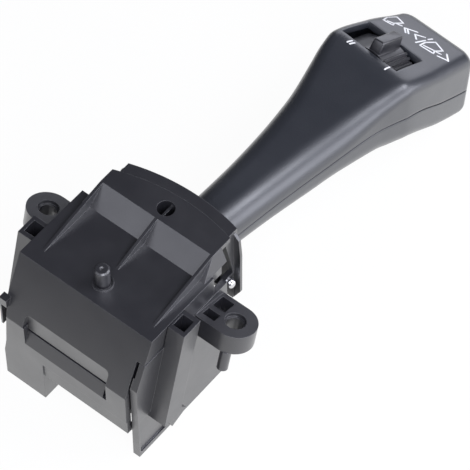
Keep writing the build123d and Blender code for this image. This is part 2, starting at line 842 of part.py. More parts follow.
# Rear wall with the connector shroud
with BuildPart() as connector_shroud:
    with BuildSketch(Plane.YZ.offset(rear_x)):
        with BuildLine():
            Polyline(
                (wall_right_y, slope_foot_z - joint_gap),
                (wall_left_y, slope_foot_z - joint_gap),
                (wall_left_y + (socket_left_y - wall_left_y) / 2, tier_z),
                (socket_left_y, wall_foot_z),
                (wall_right_y, wall_foot_z),
                close=True,
            )
        make_face()
    extrude(amount=wall_thickness)
    # Notch behind the recess, its floor sloping up to the recess wall
    with BuildSketch(Plane.YZ.offset(rear_x - 1)):
        with Locations((recess_middle_y, notch_floor_z)):
            notch_height = slope_foot_z - notch_floor_z + 1
            Rectangle(recess_width - 2 * notch_gap, notch_height, align=(Align.CENTER, Align.MIN))
    extrude(amount=wall_thickness + 2, mode=Mode.SUBTRACT)
    with BuildSketch(Plane.XZ.offset(-recess_middle_y)):
        with BuildLine():
            Polyline(
                (rear_x, notch_floor_z),
                (recess_x - joint_gap, recess_foot_z - notch_drop),
                (recess_x + recess_wall - joint_gap, recess_foot_z - notch_drop),
                (recess_x + recess_wall - joint_gap, notch_floor_z - notch_ramp),
                (rear_x, notch_floor_z - notch_ramp),
                close=True,
            )
        make_face()
    extrude(amount=recess_width / 2 - notch_gap, both=True)
    with BuildSketch(Plane.XY.offset(notch_floor_z)):
        with Locations((rear_x - 1, recess_right_y)):
            Rectangle(wall_thickness + 3, notch_slot, align=(Align.MIN, Align.MIN))
    extrude(amount=notch_height, mode=Mode.SUBTRACT)
    # Lower tier stands back a little
    with BuildSketch(Plane.YZ.offset(rear_x)):
        with Locations(((wall_left_y + wall_right_y) / 2, tier_z)):
            Rectangle(3 * housing_half_width, tier_z - wall_foot_z + 1, align=(Align.CENTER, Align.MAX))
    extrude(amount=tier_step, mode=Mode.SUBTRACT)
    # Connector box, open below
    socket_width = socket_left_y - socket_right_y
    socket_middle_x = (rear_x + socket_front_x) / 2
    socket_middle_y = (socket_left_y + socket_right_y) / 2
    with BuildSketch(Plane.YZ.offset(rear_x)):
        with BuildLine():
            Polyline(
                (socket_right_y, floor_z),
                (socket_left_y - socket_corner, floor_z),
                (socket_left_y, floor_z + socket_corner),
                (socket_left_y, wall_foot_z),
                (wall_left_y + (socket_left_y - wall_left_y) / 2, tier_z),
                (socket_right_y, tier_z),
                close=True,
            )
        make_face()
    extrude(amount=wall_thickness)
    with BuildSketch(Plane.XY.offset(floor_z)):
        with Locations((socket_middle_x, socket_middle_y)):
            Rectangle(socket_front_x - rear_x, socket_width)
    extrude(amount=socket_roof_z - floor_z)
    with BuildSketch(Plane.XY.offset(floor_z)):
        with Locations((socket_middle_x, socket_middle_y)):
            Rectangle(socket_front_x - rear_x - 2 * socket_wall, socket_width - 2 * socket_wall)
    extrude(amount=socket_roof_z - floor_z - socket_roof, mode=Mode.SUBTRACT)
finish(connector_shroud, "connector_shroud")


# Terminal pins in the socket
with BuildPart() as terminal_pins:
    with BuildSketch(Plane.XY.offset(socket_roof_z - socket_roof)):
        with Locations((socket_middle_x, socket_middle_y)):
            with GridLocations(terminal_row_pitch, terminal_pitch, 2, terminal_columns):
                Rectangle(terminal_size, terminal_size)
    extrude(amount=-terminal_length)
finish(terminal_pins, "terminal_pins")


# Rotor: a hub and a yoke that swings the lever sideways
with BuildPart() as rotor:
    with BuildSketch(lever_plan(hub_foot_z)):
        Circle(hub_radius)
    extrude(amount=hub_top_z - hub_foot_z)
    for side in (-1, 1):
        with BuildSketch(lever_side(side * yoke_inner)):
            with BuildLine():
                Polyline(
                    (-1, hub_foot_z),
                    (-1, hub_top_z),
                    (hub_radius - 1.5, hub_top_z),
                    (yoke_reach / 2, yoke_arm_top_z),
                    (yoke_reach, yoke_arm_top_z),
                    (yoke_reach, hub_foot_z + yoke_toe),
                    (yoke_reach - yoke_front, hub_foot_z),
                    close=True,
                )
            make_face()
        extrude(amount=-side * (yoke_outer - yoke_inner))
    with BuildSketch(lever_plan(hub_foot_z)):
        Rectangle(yoke_reach - yoke_front, 2 * yoke_outer, align=(Align.MIN, Align.CENTER))
    extrude(amount=yoke_web)
    with BuildSketch(lever_plan(hub_foot_z - 1)):
        Circle(axle_radius + running_gap)
    extrude(amount=hub_top_z - hub_foot_z + 2, mode=Mode.SUBTRACT)
    with BuildSketch(Plane(origin=lever_point(pull_s, 0, axis_z), x_dir=lever_along, z_dir=lever_back)):
        Circle(pull_pin_radius)
    extrude(amount=yoke_outer + 1, both=True, mode=Mode.SUBTRACT)
    # Bore for the wash plunger
    with BuildSketch(lever_plan(hub_foot_z - 1)):
        with Locations((wash_s, 0)):
            Circle(wash_radius + running_gap)
    extrude(amount=yoke_web + 2, mode=Mode.SUBTRACT)
    # Barrel for the detent plunger, pointing to the rear
    with BuildSketch(lever_section(-hub_radius + 1.0)):
        with Locations((0, detent_z)):
            Circle(plunger_radius + barrel_wall)
    extrude(amount=-(barrel_end - hub_radius + 1.0))
    with BuildSketch(lever_section(-barrel_bottom)):
        with Locations((0, detent_z)):
            Circle(plunger_radius + running_gap)
    extrude(amount=-barrel_end, mode=Mode.SUBTRACT)
    # Drive pin for the contact slider
    with BuildSketch(lever_plan(hub_foot_z)):
        with Locations((slider_x, 0)):
            Circle(drive_pin_radius)
    extrude(amount=slider_foot_z + drive_pin_float - hub_foot_z)
finish(rotor, "rotor")


# Steel axle of the rotor
with BuildPart() as rotor_axle:
    with BuildSketch(Plane.XY.offset(axle_foot_z)):
        Circle(axle_radius)
    extrude(amount=axle_top_z - axle_foot_z)
finish(rotor_axle, "rotor_axle")


# Dust shield on the yoke's ends
with BuildPart() as dust_shield:
    with BuildSketch(lever_plan(shield_foot_z)):
        Circle(shield_outer_radius)
        Circle(shield_inner_radius, mode=Mode.SUBTRACT)
        reach = shield_outer_radius * 1.2
        fan = radians(shield_half_angle)
        with BuildLine():
            Polyline(
                (0, 0),
                (reach * cos(fan), -reach * sin(fan)),
                (reach * 1.2, 0),
                (reach * cos(fan), reach * sin(fan)),
                close=True,
            )
        make_face(mode=Mode.INTERSECT)
    extrude(amount=shield_top_z - shield_foot_z)
    with BuildSketch(lever_section(shield_inner_radius - 3 * shield_thickness)):
        with Locations((0, axis_z)):
            Rectangle(core_width + 2 * shield_side_gap, core_height + 2 * shield_lift_gap)
    extrude(amount=6 * shield_thickness, mode=Mode.SUBTRACT)
    # Feet that sit on the yoke's arms
    for side in (-1, 1):
        with BuildSketch(lever_section(yoke_reach)):
            with Locations((side * (yoke_inner + yoke_outer) / 2, axis_z + 1)):
                Rectangle(yoke_outer - yoke_inner, shield_foot_height)
        extrude(amount=shield_gap + shield_foot_lap)
finish(dust_shield, "dust_shield")


# Cross pin of the pull hinge
with BuildPart() as pull_pin:
    with BuildSketch(Plane(origin=lever_point(pull_s, 0, axis_z), x_dir=lever_along, z_dir=lever_back)):
        Circle(pull_pin_radius)
    extrude(amount=yoke_outer, both=True)
finish(pull_pin, "pull_pin")


# Lever core
with BuildPart() as lever_core:
    with BuildSketch(lever_section(core_start)):
        with Locations((0, axis_z)):
            RectangleRounded(core_width, core_height, core_corner)
    extrude(amount=core_end - core_start)
    with BuildSketch(Plane(origin=lever_point(pull_s, 0, axis_z), x_dir=lever_along, z_dir=lever_back)):
        Circle(pull_pin_radius + running_gap)
    extrude(amount=core_width, both=True, mode=Mode.SUBTRACT)
    # Coring pockets on both sides
    for side in (-1, 1):
        with BuildSketch(lever_side(side * core_width / 2)):
            for step in (1, 2):
                with Locations((core_end - step * core_pocket_pitch, axis_z)):
                    Rectangle(core_pocket_length, core_height - 2 * core_pocket_rim)
        extrude(amount=side * core_pocket_depth, mode=Mode.SUBTRACT)
finish(lever_core, "lever_core")


# Stalk: stations along the lever as (s, top, bottom, half width, top radius, bottom radius, skew)
shaft_stations = (
    (shell_start, -9.7, -31.2, 10.2, 8.6, 9.4, 0),
    (72.0, -9.2, -31.7, 11.4, 8.8, 9.8, 0),
    (92.0, -7.8, -32.4, 13.2, 9.0, 10.5, 0),
    (110.0, -5.4, -33.2, 15.4, 9.0, 11.5, 0),
    (126.0, -2.0, -34.4, 17.6, 8.0, 12.5, 0),
    (hump_s, hump_z, -36.0, 19.6, 6.0, 13.0, 0),
)
head_stations = (
    (hump_s, hump_z, -36.0, 19.6, 6.0, 13.0, 0),
    (face_end_s, -17.1, -44.6, 18.2, 5.5, 12.0, end_skew),
)
tip_stations = (
    (face_end_s, -17.1, -44.6, 18.2, 5.5, 12.0, end_skew),
    (face_end_s + 3.4, -19.6, -44.6, 17.2, 6.0, 11.0, end_skew),
    (face_end_s + 6.4, -23.6, -42.0, 14.4, 6.0, 8.0, end_skew),
)
seam_points = ((45, axis_z), (95, -17.5), (122, -15.0), (142, -18.0), (160, -28.0), (185, -42.0))


def stalk_section(station, inset):
    """Rounded section of the stalk, drawn inwards by an inset."""
    s, top, bottom, half_width, top_radius, bottom_radius, skew = station
    wide = half_width - inset
    with BuildSketch(lever_section(s, skew)) as section:
        with BuildLine():
            Polyline(
                (-wide, bottom + inset),
                (wide, bottom + inset),
                (wide, top - inset),
                (-wide, top - inset),
                close=True,
            )
        make_face()
        corners = section.vertices().group_by(Axis.Z)
        fillet(corners[0], bottom_radius - inset)
        fillet(corners[-1], top_radius - inset)
    return section.sketch.faces()[0]


def stalk_body(inset):
    """Solid between all stations, drawn inwards by an inset."""
    with BuildPart() as body:
        loft([stalk_section(station, inset) for station in shaft_stations])
        loft([stalk_section(station, inset) for station in head_stations], ruled=True)
        if inset == 0:
            loft([stalk_section(station, inset) for station in tip_stations], ruled=True)
    return body.part


def seam_side(upwards):
    """Everything on one side of the parting line."""
    gap = -seam_gap / 2 if upwards else seam_gap / 2
    points = [(s, z + gap) for s, z in seam_points]
    rear_s = min(s for s, z in points)
    front_s = max(s for s, z in points)
    far_z = front_s if upwards else -front_s
    with BuildPart() as side:
        with BuildSketch(lever_side()):
            with BuildLine():
                seam = Spline(*points)
                Polyline(seam @ 1, (front_s, far_z), (rear_s, far_z), seam @ 0)
            make_face()
        extrude(amount=front_s / 3, both=True)
    return side.part


# Stalk shells, screws' pillars and the wheel's bearing plates
outer_body = stalk_body(0)
inner_body = stalk_body(shell_wall)


def face_frame(along, depth):
    """Plane square to the wheel's axle: x across the lever, y out of the face."""
    tilt = radians(face_angle)
    middle_s = (opening_rear_s + opening_front_s) / 2
    middle_z = hump_z - (middle_s - hump_s) * tan(tilt)
    s = middle_s + along * cos(tilt) - depth * sin(tilt)
    z = middle_z - along * sin(tilt) - depth * cos(tilt)
    direction = Vector(*lever_point(cos(tilt), 0, -sin(tilt)))
    return Plane(origin=lever_point(s, drum_centre_l, z), x_dir=lever_across, z_dir=direction)


wheel_axis_depth = drum_depth + drum_radius
plate_along = drum_length / 2 + wheel_plate_gap


def stalk_webs():
    """Cross webs that hold the lever core."""
    with BuildPart() as webs:
        for s in web_places:
            with BuildSketch(lever_section(s - web_thickness / 2)):
                with Locations((0, axis_z)):
                    Rectangle(through_length, through_length)
                    Rectangle(core_width, core_height, mode=Mode.SUBTRACT)
            extrude(amount=web_thickness)
    return webs.part


webs_inside = stalk_webs() & inner_body
with BuildPart() as stalk_lower_shell:
    add(outer_body)
    add(inner_body, mode=Mode.SUBTRACT)
    add(webs_inside)
    with BuildSketch(lever_plan(screw_seat_z - pillar_foot)):
        with Locations((pillar_s, 0)):
            Circle(pillar_radius)
    extrude(amount=through_length)
    add(outer_body, mode=Mode.INTERSECT)
    add(seam_side(True), mode=Mode.SUBTRACT)
    with BuildSketch(lever_plan(screw_seat_z - 2 * pillar_foot)):
        with Locations((pillar_s, 0)):
            Circle(screw_radius + running_gap)
    extrude(amount=through_length, mode=Mode.SUBTRACT)
    with BuildSketch(lever_plan(screw_seat_z - 2 * pillar_foot)):
        with Locations((pillar_s, 0)):
            Circle(screw_head_radius + end_float)
    extrude(amount=2 * pillar_foot, mode=Mode.SUBTRACT)
finish(stalk_lower_shell, "stalk_lower_shell")


with BuildPart() as stalk_upper_shell:
    add(outer_body)
    add(inner_body, mode=Mode.SUBTRACT)
    add(webs_inside)
    with BuildSketch(lever_plan(screw_seat_z - pillar_foot)):
        with Locations((pillar_s, 0)):
            Circle(pillar_radius)
    extrude(amount=through_length)
    # Plates with the bores of the wheel's axle
    for start, way in ((plate_along, 1), (-plate_along, -1)):
        with BuildSketch(face_frame(start, wheel_axis_depth)):
            Circle(drum_hub_radius)
            Rectangle(2 * drum_hub_radius, wheel_axis_depth, align=(Align.CENTER, Align.MIN))
        extrude(amount=way * wheel_plate)
    add(outer_body, mode=Mode.INTERSECT)
    add(seam_side(False), mode=Mode.SUBTRACT)
    with BuildSketch(face_frame(-plate_along - wheel_plate - 1, wheel_axis_depth)):
        Circle(wheel_axle_radius)
    extrude(amount=2 * (plate_along + wheel_plate + 1), mode=Mode.SUBTRACT)
    # Opening for the wheel
    slope_length = (opening_front_s - opening_rear_s) / cos(radians(face_angle))
    with BuildSketch(face_frame(-slope_length / 2, 0)):
        Rectangle(opening_left_l - opening_right_l, 2 * opening_depth)
    extrude(amount=slope_length, mode=Mode.SUBTRACT)
    with BuildSketch(lever_plan(screw_seat_z)):
        with Locations((pillar_s, 0)):
            Circle(screw_radius)
    extrude(amount=screw_length + 2, mode=Mode.SUBTRACT)
finish(stalk_upper_shell, "stalk_upper_shell")


# Screw that joins the shells
with BuildPart() as stalk_screw:
    with BuildSketch(lever_plan(screw_seat_z)):
        with Locations((pillar_s, 0)):
            Circle(screw_radius)
    extrude(amount=screw_length)
    with BuildSketch(lever_plan(screw_seat_z)):
        with Locations((pillar_s, 0)):
            Circle(screw_head_radius)
    extrude(amount=-screw_head_height)
    with BuildSketch(lever_plan(screw_seat_z - screw_head_height)):
        with Locations((pillar_s, 0)):
            RegularPolygon(screw_head_radius / 2, 6)
    extrude(amount=screw_head_height / 2, mode=Mode.SUBTRACT)
finish(stalk_screw, "stalk_screw")


# Interval wheel
with BuildPart() as interval_wheel:
    with BuildSketch(face_frame(-drum_length / 2, wheel_axis_depth)):
        Circle(drum_radius)
        Circle(drum_radius - drum_wall, mode=Mode.SUBTRACT)
        open_angle = radians(drum_half_angle)
        far = 2 * drum_radius
        with BuildLine():
            Polyline(
                (0, 0),
                (far * sin(open_angle), far * cos(open_angle)),
                (far * sin(open_angle), far),
                (-far * sin(open_angle), far),
                (-far * sin(open_angle), far * cos(open_angle)),
                close=True,
            )
        make_face(mode=Mode.INTERSECT)
        Circle(drum_hub_radius)
        Rectangle(drum_spoke, drum_radius - drum_wall / 2, align=(Align.CENTER, Align.MIN))
        with Locations((0, drum_radius - drum_wall / 2)):
            Rectangle(tab_width, tab_height + drum_wall / 2, align=(Align.CENTER, Align.MIN))
        for step in range(grip_rib_count):
            turn = radians(grip_rib_start + step * grip_rib_step)
            with Locations(Location((-drum_radius * sin(turn), drum_radius * cos(turn), 0), degrees(turn))):
                Rectangle(grip_rib, 2 * grip_rib)
        Circle(wheel_axle_radius + running_gap, mode=Mode.SUBTRACT)
    extrude(amount=drum_length)
finish(interval_wheel, "interval_wheel")


# Axle of the interval wheel
with BuildPart() as wheel_axle:
    with BuildSketch(face_frame(-plate_along - wheel_plate, wheel_axis_depth)):
        Circle(wheel_axle_radius)
    extrude(amount=2 * (plate_along + wheel_plate))
finish(wheel_axle, "wheel_axle")


# Circuit board with the slider's guides
with BuildPart() as circuit_board:
    with BuildSketch(Plane.XY.offset(board_z - board_thickness)):
        with Locations(((board_rear_x + board_front_x) / 2, 0)):
            Rectangle(board_front_x - board_rear_x, 2 * board_half_width)
        Circle(boss_radius + board_hole_gap, mode=Mode.SUBTRACT)
    extrude(amount=board_thickness)
    guide_middle = slider_length / 2 + guide_gap + guide_wall / 2
    with BuildSketch(Plane.XY.offset(board_z)):
        for guide_x in (slider_x - guide_middle, slider_x + guide_middle):
            with Locations((guide_x, guide_middle_y)):
                Rectangle(guide_wall, guide_length)
    extrude(amount=slider_top_z - board_z - guide_drop)
finish(circuit_board, "circuit_board")


# Contact slider, driven sideways by the rotor's pin
pin_rest_y = lever_point(slider_x, 0, 0)[1]
with BuildPart() as contact_slider:
    with BuildSketch(Plane.XY.offset(slider_foot_z)):
        with Locations((slider_x, pin_rest_y)):
            Rectangle(slider_length, slider_width)
            Rectangle(slider_slot_length, 2 * (drive_pin_radius + drive_pin_gap), mode=Mode.SUBTRACT)
    extrude(amount=slider_top_z - slider_foot_z)
finish(contact_slider, "contact_slider")


# Spring brushes under the slider
with BuildPart() as contact_brushes:
    with BuildSketch(Plane.XY.offset(slider_foot_z - brush_thickness)):
        with Locations((slider_x, pin_rest_y + brush_offset), (slider_x, pin_rest_y - brush_offset)):
            Rectangle(slider_length - 2 * brush_inset, brush_width)
    extrude(amount=brush_thickness)
finish(contact_brushes, "contact_brushes")


# Detent track
with BuildPart() as detent_track:
    with BuildSketch(Plane.XY.offset(detent_z - track_height / 2)):
        with Locations((track_rear_x, 0)):
            Rectangle(track_radius, 2 * track_half_width, align=(Align.MIN, Align.CENTER))
        Circle(track_radius, mode=Mode.SUBTRACT)
        for notch in notch_angles:
            turn = radians(180 - rest_angle + notch)
            with Locations((track_radius * cos(turn), track_radius * sin(turn))):
                Circle(notch_radius, mode=Mode.SUBTRACT)
    extrude(amount=track_height)
finish(detent_track, "detent_track")


# Detent plunger with its domed nose, bored at the back for its spring
with BuildPart() as detent_plunger:
    with BuildSketch(lever_side()):
        with BuildLine():
            Line((-plunger_tail, detent_z), (-plunger_tip, detent_z))
            ThreePointArc(
                (-plunger_tip, detent_z),
                (-plunger_tip + plunger_nose / 3, detent_z + plunger_radius * 2 / 3),
                (-plunger_tip + plunger_nose, detent_z + plunger_radius),
            )
            Polyline(
                (-plunger_tip + plunger_nose, detent_z + plunger_radius),
                (-plunger_tail, detent_z + plunger_radius),
                (-plunger_tail, detent_z),
            )
        make_face()
    revolve(axis=Axis(lever_point(0, 0, detent_z), lever_along))
    with BuildSketch(lever_section(-plunger_tail)):
        with Locations((0, detent_z)):
            Circle(plunger_bore_radius)
    extrude(amount=-plunger_bore, mode=Mode.SUBTRACT)
finish(detent_plunger, "detent_plunger")


# Detent spring between the barrel and the bore, at its length under full press
with BuildPart() as detent_spring:
    coil_start = barrel_bottom + detent_wire
    coil_length = plunger_tail + plunger_bore - plunger_travel - 2 * detent_wire - coil_start
    coil_place = Plane(origin=lever_point(-coil_start, 0, detent_z), z_dir=lever_point(-1, 0, 0))
    add(coil(detent_coil_radius, coil_length, detent_turns, detent_wire, coil_place))
finish(detent_spring, "detent_spring")


# Wash plunger under the lever's end, with its spring
wash_top_z = axis_z - core_height / 2 - wash_gap
with BuildPart() as wash_plunger:
    with BuildSketch(lever_plan(wash_top_z)):
        with Locations((wash_s, 0)):
            Circle(wash_head_radius)
    extrude(amount=-wash_head_height)
    with BuildSketch(lever_plan(wash_top_z - wash_head_height)):
        with Locations((wash_s, 0)):
            Circle(wash_radius)
    extrude(amount=hub_foot_z + wash_recess - wash_top_z + wash_head_height)
finish(wash_plunger, "wash_plunger")


# Spring around the wash plunger
with BuildPart() as wash_spring:
    spring_foot = hub_foot_z + yoke_web + spring_wire
    spring_head = wash_top_z - wash_head_height - spring_wire
    coil_place = Plane(origin=lever_point(wash_s, 0, spring_foot))
    add(coil(wash_radius + wash_coil_gap, spring_head - spring_foot, wash_turns, spring_wire, coil_place))
finish(wash_spring, "wash_spring")
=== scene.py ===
import json
from math import asin, cos, pi, radians, sin, sqrt, tan

import bmesh
import bpy
from bpy.props import FloatProperty, FloatVectorProperty, IntProperty, PointerProperty
from mathutils import Matrix, Vector


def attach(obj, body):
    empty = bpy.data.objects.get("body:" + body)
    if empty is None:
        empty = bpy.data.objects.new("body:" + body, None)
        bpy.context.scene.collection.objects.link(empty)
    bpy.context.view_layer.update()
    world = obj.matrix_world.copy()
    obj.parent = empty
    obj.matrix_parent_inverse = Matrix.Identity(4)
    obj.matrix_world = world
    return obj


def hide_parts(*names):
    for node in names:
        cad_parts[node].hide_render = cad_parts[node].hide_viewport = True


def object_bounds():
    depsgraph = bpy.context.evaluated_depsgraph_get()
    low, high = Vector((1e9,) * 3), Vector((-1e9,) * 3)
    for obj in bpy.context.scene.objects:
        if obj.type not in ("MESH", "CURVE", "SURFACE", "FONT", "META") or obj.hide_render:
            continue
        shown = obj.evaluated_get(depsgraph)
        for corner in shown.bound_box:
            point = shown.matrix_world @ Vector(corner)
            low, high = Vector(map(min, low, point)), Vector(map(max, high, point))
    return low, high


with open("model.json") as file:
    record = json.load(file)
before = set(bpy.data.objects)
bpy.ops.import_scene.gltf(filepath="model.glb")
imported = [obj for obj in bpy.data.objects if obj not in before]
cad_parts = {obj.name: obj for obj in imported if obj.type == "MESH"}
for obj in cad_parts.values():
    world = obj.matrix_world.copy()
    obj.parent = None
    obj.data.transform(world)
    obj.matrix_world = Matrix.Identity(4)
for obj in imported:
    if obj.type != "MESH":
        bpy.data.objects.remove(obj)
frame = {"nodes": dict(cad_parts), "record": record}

bl_info = {
    "name": "Combination stalk switch",
    "version": (1, 1, 0),
    "blender": (4, 5, 0),
    "location": "View3D > Sidebar > Stalk switch",
    "description": "Builds the skins, print, finishes and studio of a wiper stalk switch",
    "category": "Object",
}

MM = 0.001
cad_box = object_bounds()

# Stalk stations in millimetres: along the lever, top, bottom, half width, top radius, bottom radius
STATIONS = (
    (50.6, -9.7, -31.2, 10.2, 8.6, 9.4),
    (72.0, -9.2, -31.7, 11.4, 8.8, 9.8),
    (92.0, -7.8, -32.4, 13.2, 9.0, 10.5),
    (110.0, -5.4, -33.2, 15.5, 8.6, 12.5),
    (126.0, -2.0, -34.4, 18.2, 6.8, 12.5),
    (132.0, -0.7, -35.1, 19.5, 6.0, 11.6),
    (136.0, 0.0, -35.6, 20.2, 5.6, 11.0),
    (139.5, 0.1, -36.0, 20.8, 5.2, 10.4),
    (142.4, -0.76, -36.7, 20.9, 5.1, 9.8),
    (158.0, -8.56, -43.6, 20.2, 5.2, 6.6),
    (175.6, -17.38, -51.2, 18.0, 5.2, 4.8),
)
# Parting line of the two shells: along the lever, height
SEAM = ((45, -20.3), (95, -17.5), (122, -15.0), (142, -18.0), (160, -28.0), (185, -42.0))
# Share of the tip's round that its underside takes part in, and the least round of the bottom edges
TIP_UNDER = 0.9
LEAST_ROUND = 4.0
# The head leans back at its end from here on, and is shifted to the left between two places
LEAN_START = 150
HEAD_SHIFT = 0.9
SHIFT_RISE = (108, 134)
SHIFT_FALL = 160
SHIFT_FALL_SHARE = 0.6

# Wheel's window in the head's face: along the lever, then across it, and the slant of its left end
WINDOW_S = (142.6, 157.4)
WINDOW_L = (-10.6, 16.2)
WINDOW_SLANT = 0.7
# Places between which the columns of the skin gather at the window and part again
GATHER = (118, 141)
PART = (158.5, 172)

# Points and steps of the shells' outlines, from the parting line up to the window
FOLD_POINTS = 3
SIDE_STEPS = 8
ROUND_STEPS = 6
ROUND_TURN = 40
RIM_COLUMNS = 4
WINDOW_COLUMNS = 20
RIGHT_COLUMNS = 8
LOWER_STEPS = 18

# Lip behind the parting line: depth, edge round and its middle point, then the lower shell's tongue
LIP_DEPTH = 0.8
LIP_ROUND = 0.3
LIP_CORNER = 0.08
TONGUE_DEPTH = 0.9
TONGUE_HEIGHT = 1.6

# Wheel seen along its axle, in degrees from the top: ends, travel, ridges' first place and pitch
DRUM_ENDS = (-50.0, 62.0)
DRUM_TRAVEL = 20
DRUM_WALL = 0.8
RIDGE_FIRST = 24
RIDGE_PITCH = 8
RIDGE_HALF_WIDTH = 3.2
RIDGE_HEIGHT = 0.8
RIDGE_FLANK = 1.6
# Finger tab in millimetres: width, height, how far its middle stands out, and its slant
TAB_WIDTH = 5.4
TAB_HEIGHT = 6.0
TAB_RISE = 1.8
TAB_SLANT = 0.35
TAB_ROUND = 0.6

# Camera of the photograph: focal length and image width in pixels, sensor width in millimetres
FOCAL_PIXELS = 3000
IMAGE_PIXELS = 470
SENSOR = 36.0
CAMERA_PLACE = (-0.4281, -0.4041, 0.8837)
CAMERA_AZIMUTH = -51.2
CAMERA_ELEVATION = 55.5

# Pictograms as runs of points, along the lever and across it, in millimetres
PRINTS = {
    "mark_two": (((139.3, 12.2), (141.1, 11.5)), ((139.3, 10.9), (141.0, 10.1))),
    "mark_one": (((139.6, -6.6), (141.9, -6.8)),),
    "front_screen": (
        ((163.4, 15.6), (166.6, 16.4), (170.4, 14.8), (169.5, 10.7), (165.9, 12.2), (164.4, 11.6), (163.4, 15.6)),
        ((164.6, 14.4), (165.7, 12.2)),
        ((166.5, 11.6), (167.5, 9.7)),
    ),
    "double_arrow": (
        ((165.4, 5.9), (167.5, 8.3), (170.2, 4.0)),
        ((166.0, 4.9), (168.0, 7.2)),
    ),
    "single_arrow": (((166.1, 1.0), (168.1, 3.4), (170.4, 0.2)),),
    "bars": (((164.2, -0.4), (168.8, -1.2)), ((170.5, -1.3), (172.3, -1.8))),
    "rear_screen": (
        ((164.3, -2.4), (167.9, -2.1), (171.9, -3.9), (170.1, -9.2), (166.9, -7.7), (165.2, -8.5), (164.3, -2.4)),
        ((165.7, -3.2), (167.0, -7.4)),
        ((167.1, -8.6), (167.7, -10.2)),
    ),
    "end_arrow": (((165.5, -10.4), (167.0, -14.5), (169.9, -11.3)),),
}


def linear(code):
    """An sRGB hex colour as linear RGBA."""
    values = [int(code[i : i + 2], 16) / 255 for i in (1, 3, 5)]
    return [v / 12.92 if v <= 0.04045 else ((v + 0.055) / 1.055) ** 2.4 for v in values] + [1.0]


def colour_property(name, description, code):
    """A colour kept in the scene's settings."""
    return FloatVectorProperty(
        name=name, description=description, subtype="COLOR", size=3, min=0, max=1, default=linear(code)[:3]
    )


class StalkSizes(bpy.types.PropertyGroup):
    """Sizes of the stalk, its wheel and its print."""

    rest_angle: FloatProperty(
        name="Rest angle", description="Turn of the lever in its resting notch", subtype="ANGLE", default=radians(5.6)
    )
    face_angle: FloatProperty(
        name="Face angle", description="Slope of the head's face", subtype="ANGLE", default=radians(26.6)
    )
    tip_length: FloatProperty(
        name="Tip length", description="Length of the rounded tip", unit="LENGTH", default=4.8 * MM
    )
    tip_skew: FloatProperty(
        name="Tip skew", description="Turn of the stalk's end across the lever", subtype="ANGLE", default=radians(2)
    )
    tip_lean: FloatProperty(
        name="Tip lean", description="Lean of the stalk's end under the head", subtype="ANGLE", default=radians(4.6)
    )
    seam_gap: FloatProperty(
        name="Seam gap", description="Width of the gap between the shells", unit="LENGTH", default=0.5 * MM
    )
    window_depth: FloatProperty(
        name="Window depth", description="Height of the wall of the wheel's window", unit="LENGTH", default=2.8 * MM
    )
    window_round: FloatProperty(
        name="Window round", description="Edge round of the wheel's window", unit="LENGTH", default=0.3 * MM
    )
    drum_radius: FloatProperty(
        name="Drum radius", description="Radius of the interval wheel", unit="LENGTH", default=14.1 * MM
    )
    drum_depth: FloatProperty(
        name="Drum depth", description="Depth of the wheel below the face", unit="LENGTH", default=0.3 * MM
    )
    drum_length: FloatProperty(
        name="Drum length", description="Length of the wheel along its axle", unit="LENGTH", default=14.2 * MM
    )
    drum_centre: FloatProperty(
        name="Drum centre", description="Wheel's place across the lever", unit="LENGTH", default=2.8 * MM
    )
    ridge_count: IntProperty(name="Ridges", description="Number of grip ridges on the wheel", default=4, min=0)
    print_width: FloatProperty(
        name="Print width", description="Width of the printed lines", unit="LENGTH", default=0.74 * MM
    )
    print_lift: FloatProperty(
        name="Print lift", description="Height of the ink over the skin", unit="LENGTH", default=0.04 * MM
    )


class FinishColours(bpy.types.PropertyGroup):
    """Colours of the finishes."""

    moulded_black: colour_property("Housing nylon", "Black of the moulded housing", "#1E1E23")
    grained_black: colour_property("Stalk plastic", "Black of the grained stalk", "#22252C")
    wheel_black: colour_property("Wheel plastic", "Black of the interval wheel", "#1D1D22")
    grey_nylon: colour_property("Grey nylon", "Grey of the inner parts", "#7C7E82")
    white_acetal: colour_property("White acetal", "White of the sliding parts", "#E0DFD9")
    board: colour_property("Board", "Green of the circuit board", "#24552F")
    tin_plated_brass: colour_property("Tin", "Plating of the terminals", "#C9C3B4")
    contact_metal: colour_property("Contact bronze", "Metal of the brushes", "#C58F5A")
    bright_steel: colour_property("Bright steel", "Polished pins and axles", "#DCDCDE")
    spring_steel: colour_property("Spring steel", "Drawn wire of the springs", "#8E8E90")
    dark_screw: colour_property("Screw black", "Blackened screw", "#3A3A3D")
    ink: colour_property("Ink", "Print on the stalk", "#FFFFFF")


class StudioSettings(bpy.types.PropertyGroup):
    """Floor and lamps."""

    floor_reach: FloatProperty(name="Floor reach", description="Half the floor's side", unit="LENGTH", default=0.23)
    floor_glow: FloatProperty(
        name="Floor glow", description="Share of plain white in the floor's look", subtype="FACTOR", default=0.95
    )
    ceiling: FloatProperty(name="Ceiling", description="Strength of the studio's dark ceiling", default=0.08)
    side_power: FloatProperty(name="Side box", description="Power of the low side box", unit="POWER", default=4.0)
    ramp_power: FloatProperty(name="Rear box", description="Power of the box behind", unit="POWER", default=0.72)
    crown_power: FloatProperty(name="Crown box", description="Power of the box overhead", unit="POWER", default=2.4)
    tip_power: FloatProperty(name="Tip box", description="Power of the box beyond the tip", unit="POWER", default=0.75)
    key_power: FloatProperty(name="Key box", description="Power of the box by the camera", unit="POWER", default=5.0)


def sizes():
    """The stalk's sizes in the scene."""
    return bpy.context.scene.stalk_switch_sizes


def lever_point(s, across, z):
    """A point along, across and above the lever, in metres in the row's frame."""
    turn = sizes().rest_angle
    return Vector((s * cos(turn) + across * sin(turn), -s * sin(turn) + across * cos(turn), z)) * MM


